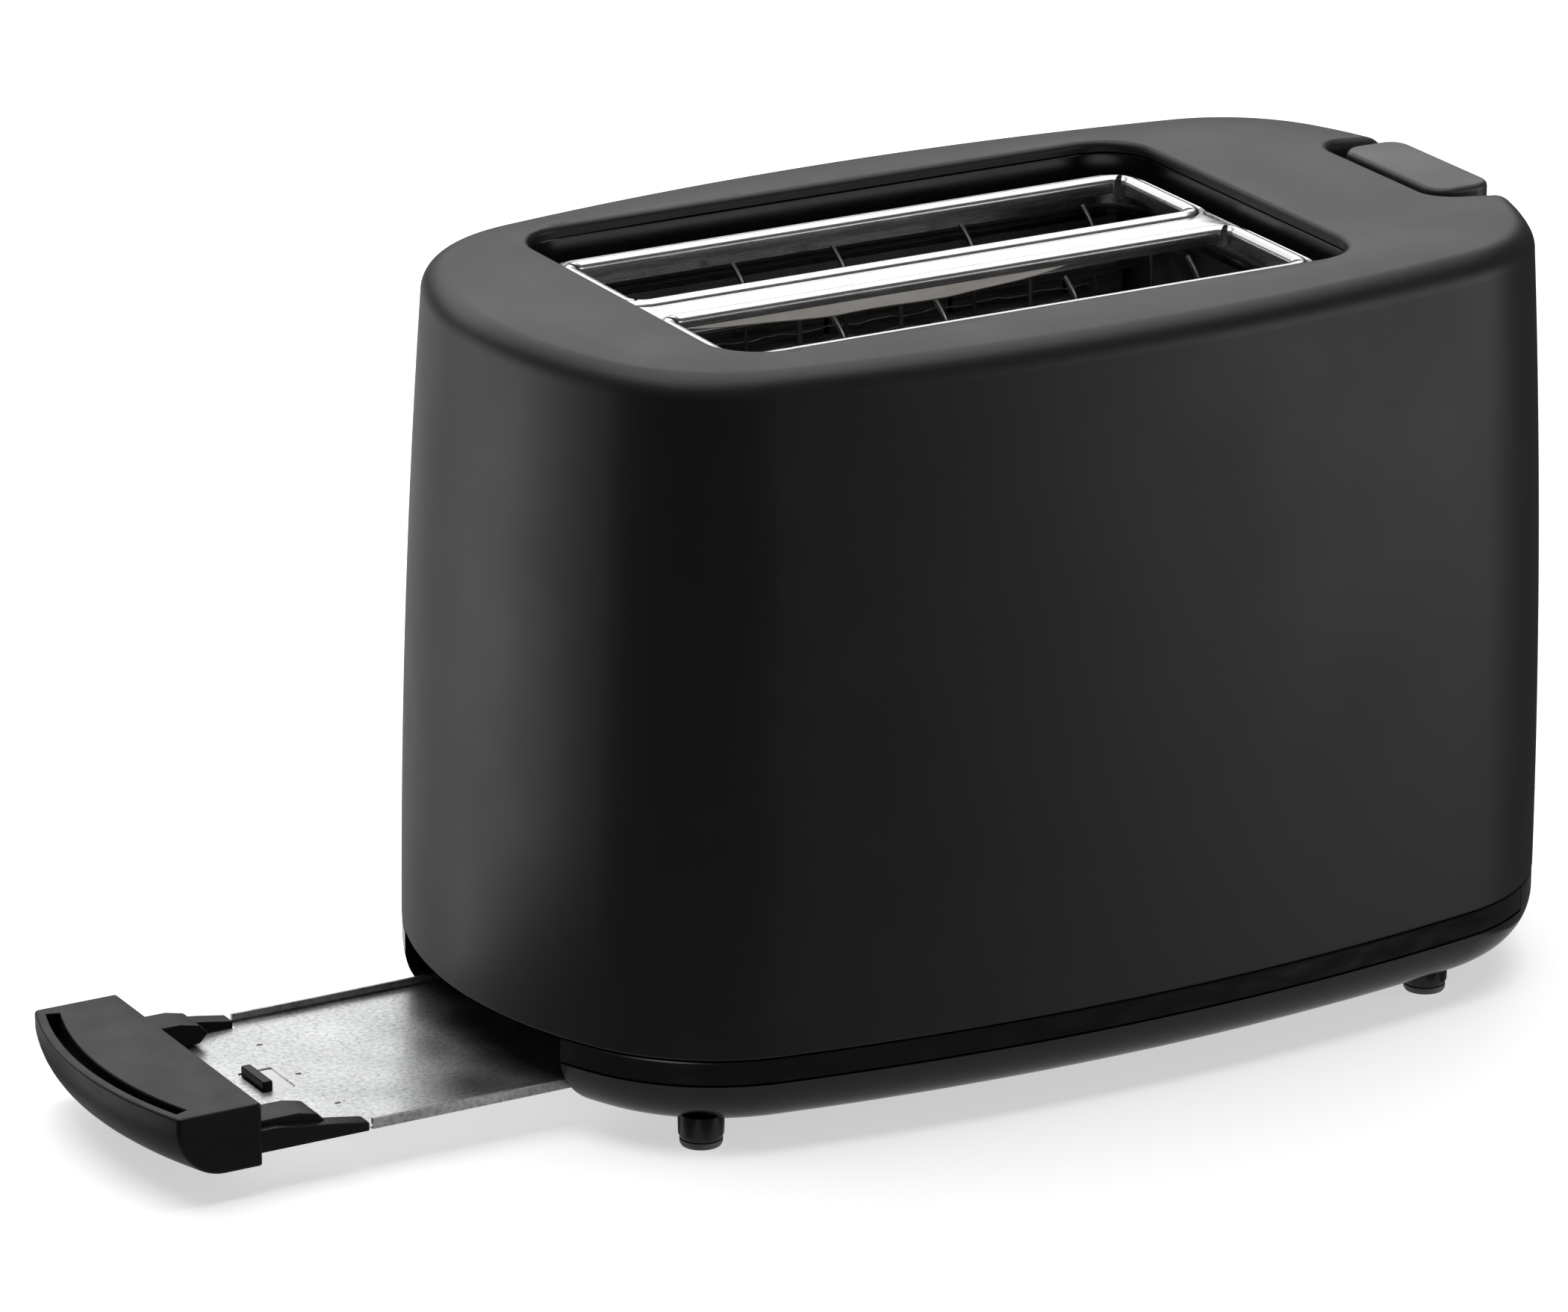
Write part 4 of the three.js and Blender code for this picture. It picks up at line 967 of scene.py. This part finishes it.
def dial():
    low, high = DIAL
    z, radius = DIAL_Z, (high.z - low.z) / 2
    back, front = low.x, high.x
    rings = []
    around, ridges, depth = full_turn(192), 24, 0.28
    profile = [(3.3, front - 5), (3.3, back), (radius - 0.6, back), (radius, back + 0.6),
               (radius, front - 2.2), (radius - 0.35, front - 1.1), (radius - 1.2, front - 0.3),
               (radius - 2.2, front)]
    for r, x in profile:
        ribbed = radius - 0.5 < r and back + 0.5 < x < front - 0.9
        ring = []
        for a in around:
            ridge = depth * max(0.0, math.cos(ridges * a)) if ribbed else 0
            ring.append((x, (r - ridge) * math.cos(a), z + (r - ridge) * math.sin(a)))
        rings.append(ring)
    for r, sunk in ((radius - 3, 0.15), (radius - 6, 0.45), (radius - 9, 0.6), (0.05, 0.65)):
        rings.append([(front - sunk, r * math.cos(a), z + r * math.sin(a)) for a in around])
    obj = mesh_object("dial", loft(rings))
    pointer = slab((-0.7, 0.7, z + 3.5, z + radius - 1.6), 0.6, front - 1.1, front + 2, 0, 0, at_x)
    cut(obj, pointer)
    finish(obj, "dial", "knob_grey", "browning_dial")
    mark = slab((-0.6, 0.6, z + 3.6, z + radius - 1.7), 0.5, front - 1.2, front - 0.75, 0.05, 0.05, at_x)
    finish(mesh_object("dial_pointer", mark), "dial", "knob_grey", skin=PRINT)


def dial_marks():
    near, far = 15.6, 17.8
    marks = []
    for step in range(7):
        angle = math.radians(225 - 45 * step)
        wide = 0.25 + 0.09 * step
        plan = []
        for r, w in ((near, -wide), (far, -wide), (far, wide), (near, wide)):
            y = r * math.cos(angle) - w * math.sin(angle)
            z = DIAL_Z + r * math.sin(angle) + w * math.cos(angle)
            plan.append((wall_x(y, z), y, z))
        marks.append(loft([[(x + out, y, z) for x, y, z in plan] for out in (-0.1, 0.06)]))
    obj = mesh_object("dial_marks", merged(*marks))
    finish(obj, "chassis", "knob_grey", skin=PRINT)


def buttons():
    for name, ticks in (("cancel", 1), ("reheat", 2), ("defrost", 3)):
        low, high = span(f"button_{name}")
        y, z = (low.y + high.y) / 2, (low.z + high.z) / 2
        back, foot, front = low.x, 133, high.x
        cap = (y - 6.5, y + 6.5, z - 3.5, z + 3.5)
        plunger = rod(1.8, back, foot, 24, "x", (y, z))
        stop = (y - 7.4, y + 7.4, z - 4.4, z + 4.4)
        flange = slab(stop, 1.5, foot - 0.8, foot + 0.4, 0.1, 0.1, at_x)
        section = [(-0.2, foot), (0, foot + 0.2), (0, front - 1), (-0.12, front - 0.5),
                   (-0.4, front - 0.2), (-0.9, front - 0.05), (-1.6, front - 0.1),
                   (-2.6, front - 0.35), (-3.1, front - 0.4)]
        rings = [at_x(rounded(cap, 1.2, grow, 6), x) for grow, x in section]
        obj = mesh_object(f"key_{name}", loft(rings))
        join(obj, flange, plunger)
        finish(obj, f"{name}_button", "knob_grey", f"button_{name}")
        marks = []
        for i in range(ticks):
            at = y + 2.4 * i - 1.2 * (ticks - 1)
            dot = (at - 0.45, at + 0.45, z - 0.45, z + 0.45)
            marks.append(slab(dot, 0.4, front - 0.5, front - 0.32, 0.02, 0.02, at_x))
        obj = mesh_object(f"key_mark_{name}", merged(*marks))
        finish(obj, f"{name}_button", "knob_grey", skin=PRINT)


def inlet_bush():
    """Stepped bush along the wall's outward direction at the cord inlet."""
    low, high = span("cord_inlet_bush")
    angle = 0.29
    out = Vector((math.cos(angle), math.sin(angle), 0))
    across = Vector((-math.sin(angle), math.cos(angle), 0))
    start = Vector((CENTRE_X + END_C.x, 0, (low.z + high.z) / 2))
    face = END_BOW - BASE_INSET
    profile = [(3.2, face - 9), (4.2, face - 9), (4.2, face + 0.4), (5.2, face + 0.5),
               (5.4, face + 0.8), (5.4, face + 1.5), (4.9, face + 2.2), (4.2, face + 2.3),
               (3.4, face + 2.1), (3.2, face + 1.8)]
    rings = [[tuple(start + out * d + across * (r * math.cos(a)) + Vector((0, 0, r * math.sin(a))))
              for a in full_turn(48)] for r, d in profile]
    obj = mesh_object("inlet_bush", loft(rings, closed=True))
    finish(obj, "chassis", "knob_grey", "cord_inlet_bush")


# ---- Crumb tray and handle -------------------------------------------------------------------

TONGUE_X, TONGUE_HALF = -190, 30.6
TRAY_X = -157.7
TRAY_HALF = 34.75


def crumb_tray():
    floor, back, depth = TRAY[0].z, TRAY[1].x, TRAY[1].z - TRAY[0].z
    tongue = [(TONGUE_X, -TONGUE_HALF), (TRAY_X - 0.6, -TONGUE_HALF), (TRAY_X, -TONGUE_HALF + 0.6),
              (TRAY_X, -TRAY_HALF + 0.4), (back - 0.4, -TRAY_HALF + 0.4), (back - 0.4, TRAY_HALF - 0.4),
              (TRAY_X, TRAY_HALF - 0.4), (TRAY_X, TONGUE_HALF - 0.6), (TRAY_X - 0.6, TONGUE_HALF),
              (TONGUE_X, TONGUE_HALF)]
    sheet = mesh_object("tray_sheet", loft([at_z(tongue, z) for z in (floor, floor + 0.5)]))
    window = slab((-169.5, -161.5, -6.3, 6.3), 0.5, 0, 30, 0, 0)
    notches = [slab((TRAY_X - 0.9, TRAY_X + 0.5, y - 0.5, y + 0.5), 0.3, 0, 30, 0, 0)
               for y in (-19, 0, 19)]
    cut(sheet, window, *notches)
    hems = []
    for side in (-1, 1):
        # wall with its edge folded back inside: an open hook section run along the tray
        section = [(0, 0.02), (0, depth - 0.35), (0.12, depth - 0.1), (0.4, depth), (0.75, depth - 0.08),
                   (0.95, depth - 0.35), (0.95, 0.95), (0.55, 0.95), (0.5, depth - 0.6), (0.4, 0.6),
                   (0.45, 0.02)]
        rings = []
        for i in range(41):
            x = TRAY_X + 0.4 + (back - TRAY_X - 0.4) * i / 40
            wave = 0.05 * math.sin(i * 0.7 + side) + 0.03 * math.sin(i * 1.9)
            rings.append([(x, side * (TRAY_HALF - s + wave * (h / 2.4)), floor + h) for s, h in section])
        hems.append(loft(rings))
    end = [(0.45, 0.02), (0, 0.02), (0, depth - 0.3), (0.35, depth), (0.9, depth - 0.2), (0.9, 0.9),
           (0.5, 0.9)]
    end = [(back - x, floor + h) for x, h in end]
    hems.append(prism(end, -TRAY_HALF + 0.6, TRAY_HALF - 0.6))
    obj = mesh_object("tray", merged(taken(sheet), *hems))
    finish(obj, "tray", "galvanised", "crumb_tray", angle=45)


HANDLE_BACK, HANDLE_ENDS, HANDLE_MIDDLE, HANDLE_HALF = -184, -203.5, HANDLE[0].x, 36
END_FILLET = 0.7
HANDLE_DROP = HANDLE_ENDS - HANDLE_MIDDLE
HANDLE_BOW = (HANDLE_HALF ** 2 + HANDLE_DROP ** 2) / (2 * HANDLE_DROP)


def handle_section(y, shrink=0.0):
    """Section of the handle at y in X and Z, moved inwards by shrink."""
    bottom, top = HANDLE[0].z, HANDLE[1].z
    front = HANDLE_MIDDLE + HANDLE_BOW - math.sqrt(HANDLE_BOW ** 2 - y * y)
    back = HANDLE_BACK
    nose = top - 2.6
    points = arc(back - 0.5, bottom + 0.5, 0.5, -90, 0, 3)
    points += arc(back - 0.6, top - 0.6, 0.6, 0, 90, 4)
    points += arc(front + 0.8, top - 0.8, 0.8, 90, 180, 5)
    points.append((front + 0.05, nose))
    depth = 11
    points += [(front + depth * (1 - math.cos(t)), nose - (nose - bottom) * math.sin(t))
               for t in quarter_turn(14, 1)]
    middle_x, middle_z = (front + back) / 2, (bottom + top) / 2
    span_x, span_z = back - front, top - bottom
    kx, kz = 1 - 2 * shrink / span_x, 1 - 2 * shrink / span_z
    return [(middle_x + (x - middle_x) * kx, middle_z + (z - middle_z) * kz) for x, z in points]


def handle():
    top, bottom = HANDLE[1].z, HANDLE[0].z
    stations = [(-HANDLE_HALF + END_FILLET * (1 - math.cos(t)), END_FILLET * (1 - math.sin(t)))
                for t in quarter_turn(4)]
    flat = HANDLE_HALF - END_FILLET
    stations += [(2 * flat * i / 40 - flat, 0) for i in range(1, 40)]
    stations += [(-y, s) for y, s in reversed(stations[:5])]
    obj = mesh_object("handle", loft([at_y(handle_section(y, shrink), y) for y, shrink in stations]))
    centre = HANDLE_MIDDLE + HANDLE_BOW
    reach = math.degrees(math.asin((HANDLE_HALF - 2.8) / HANDLE_BOW))
    groove = []
    for grow, z in ((0, top - 5), (0, top - 0.35), (0.1, top - 0.15), (0.5, top + 0.25), (0.5, top + 3)):
        spread = math.degrees(grow / HANDLE_BOW)
        line = arc(centre, 0, HANDLE_BOW - 2.4 + grow, 180 + reach + spread, 180 - reach - spread, 40)
        line += arc(centre, 0, HANDLE_BOW - 5.2 - grow, 180 - reach - spread, 180 + reach + spread, 40)
        groove.append(at_z(line, z))
    cut(obj, loft(groove))
    low, floor, root = bottom + 2.6, TRAY[0].z, HANDLE_BACK - 2
    seat = floor + 0.8
    for side in (-1, 1):
        rail = [(root, low), (-158.4, low), (-158.4, low + 2.0), (-165.5, low + 3.2),
                (-176, low + 4.6), (-180, low + 5.2), (root, low + 5.2)]
        hook = [(root, seat), (-176.5, seat), (-169.5, seat + 0.3), (-167.5, seat + 2.4),
                (-169.5, seat + 4.6), (-174, seat + 5.6), (root, seat + 5.6)]
        y0, y1 = sorted((side * 31, side * 35.4))
        h0, h1 = sorted((side * 24.5, side * 33))
        part = bevel(mesh_object("rail", prism(rail, y0, y1)), 0.35)
        clip = bevel(mesh_object("hook", prism(hook, h0, h1)), 0.3)
        join(obj, taken(part), taken(clip))
    cut(obj, block(TONGUE_X - 0.3, 0, -TONGUE_HALF - 0.3, TONGUE_HALF + 0.3, floor - 0.3, seat))
    tab = block(root, -166.6, -5.6, 5.6, floor - 2.2, floor - 0.3)
    tooth = slab((-169, -166.6, -5.6, 5.6), 0.5, floor - 1, floor + 2.6, 0.4, 0.1)
    join(obj, tab, tooth)
    finish(obj, "tray", "gloss_black", "tray_handle", skin=HANDLE_BLACK)


# ---- CAD nodes that stay ---------------------------------------------------------------------

CAD_SKINS = {
    "chassis_end_left": OVEN,
    "chassis_end_lever": OVEN,
    "reflector_front": OVEN,
    "reflector_back": OVEN,
    "lever_arm": SKINS["galvanised"],
    "carriage": SKINS["galvanised"],
    "armature_plate": SKINS["dark_steel"],
    "guide_rod": WIRE,
    "lift_spring": WIRE,
    "magnet_core": SKINS["dark_steel"],
    "magnet_coil": SKINS["copper"],
    "dial_potentiometer": SKINS["dark_steel"],
    "switch_cancel": SKINS["nylon"],
    "switch_reheat": SKINS["nylon"],
    "switch_defrost": SKINS["nylon"],
    "control_board": SKINS["board_green"],
    "contact_blade_front": SKINS["copper"],
    "contact_blade_back": SKINS["copper"],
    "terminal_block": SKINS["nylon"],
}


def dress_cad_nodes():
    for name, skin in CAD_SKINS.items():
        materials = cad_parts[name].data.materials
        materials.clear()
        materials.append(skin)


# ---- Studio ----------------------------------------------------------------------------------

STAGE_RADIUS = 12000
# name, place, aim, width and height in metres, and radiance in watts per square metre and steradian
LIGHTS = (
    ("overhead", (0.1, 0.35, 1.9), (0.1, 0.1, 0), 2.6, 1.9, 2.2),
    ("backdrop", (0.6, 2.2, 1.3), (0.1, 0, 0.2), 3.6, 1.1, 1.8),
    ("left", (-1.5, 1.3, -0.15), (-0.1, 0, 0.1), 1.5, 1.3, 1.75),
    ("right", (1.7, -1.5, 0.1), (0, 0, 0.1), 1.6, 1.2, 2.4),
    ("bounce", (0, 0, -0.5), (0, 0, 0), 1.8, 1.8, 0.3),
    ("rim", (0.5, 2.2, -0.45), (0, 0, 0.1), 2.6, 0.8, 0.7),
)
WORLD_STRENGTH = 0.08
VIEW_FROM = Vector((-0.9055, -1.6009, 0.6463))  # metres from the middle of the CAD box
VIEW_ALONG = Vector((0.461364, 0.822518, -0.333197))
LENS, SENSOR = 203.9, 36


def softbox(name, place, target, width, height, radiance):
    data = bpy.data.lights.new(name, "AREA")
    data.shape = "RECTANGLE"
    data.size, data.size_y = width, height
    data.energy = radiance * math.pi * width * height
    obj = bpy.data.objects.new(name, data)
    obj.location = place
    obj.rotation_mode = "QUATERNION"
    obj.rotation_quaternion = (Vector(target) - Vector(place)).to_track_quat("-Z", "Y")
    obj.visible_camera = False
    bpy.context.scene.collection.objects.link(obj)


def stage_piece(name, shape, skin):
    """A floor or backdrop that only the camera sees; softboxes below the floor shine through it."""
    obj = mesh_object(name, shape)
    obj.data.materials.append(skin)
    obj.visible_diffuse = obj.visible_glossy = obj.visible_shadow = False


def studio():
    ring = arc(0, 0, STAGE_RADIUS, 0, 360, 48)[:-1]
    stage_piece("floor", (at_z(ring, 0), [tuple(range(len(ring)))]), floor_white())
    stage_piece("surround", loft([at_z(ring, -STAGE_RADIUS), at_z(ring, STAGE_RADIUS)], cap=False),
                floor_white("studio_surround", 1.0))
    world = bpy.data.worlds.new("studio")
    world.use_nodes = True
    background = world.node_tree.nodes["Background"]
    background.inputs["Color"].default_value = (1, 1, 1, 1)
    background.inputs["Strength"].default_value = WORLD_STRENGTH
    scene = bpy.context.scene
    scene.world = world
    scene.view_settings.view_transform = "Standard"
    for light in LIGHTS:
        softbox(*light)


def camera():
    middle = (CAD_BOX[0] + CAD_BOX[1]) / 2
    data = bpy.data.cameras.new("camera")
    data.sensor_width, data.lens = SENSOR, LENS
    data.clip_start, data.clip_end = 0.05, 50
    obj = bpy.data.objects.new("camera", data)
    obj.location = middle + VIEW_FROM
    obj.rotation_mode = "QUATERNION"
    obj.rotation_quaternion = VIEW_ALONG.to_track_quat("-Z", "Y")
    bpy.context.scene.collection.objects.link(obj)
    bpy.context.scene.camera = obj


housing()
trench()
slotted_plate()
slot_flange()
skirt()
pan()
foot_pads()
screws()
mica_boards()
heater_ribbons()
bread_guides()
end_guides()
knob()
racks()
dial()
dial_marks()
buttons()
inlet_bush()
crumb_tray()
handle()
dress_cad_nodes()
studio()
camera()
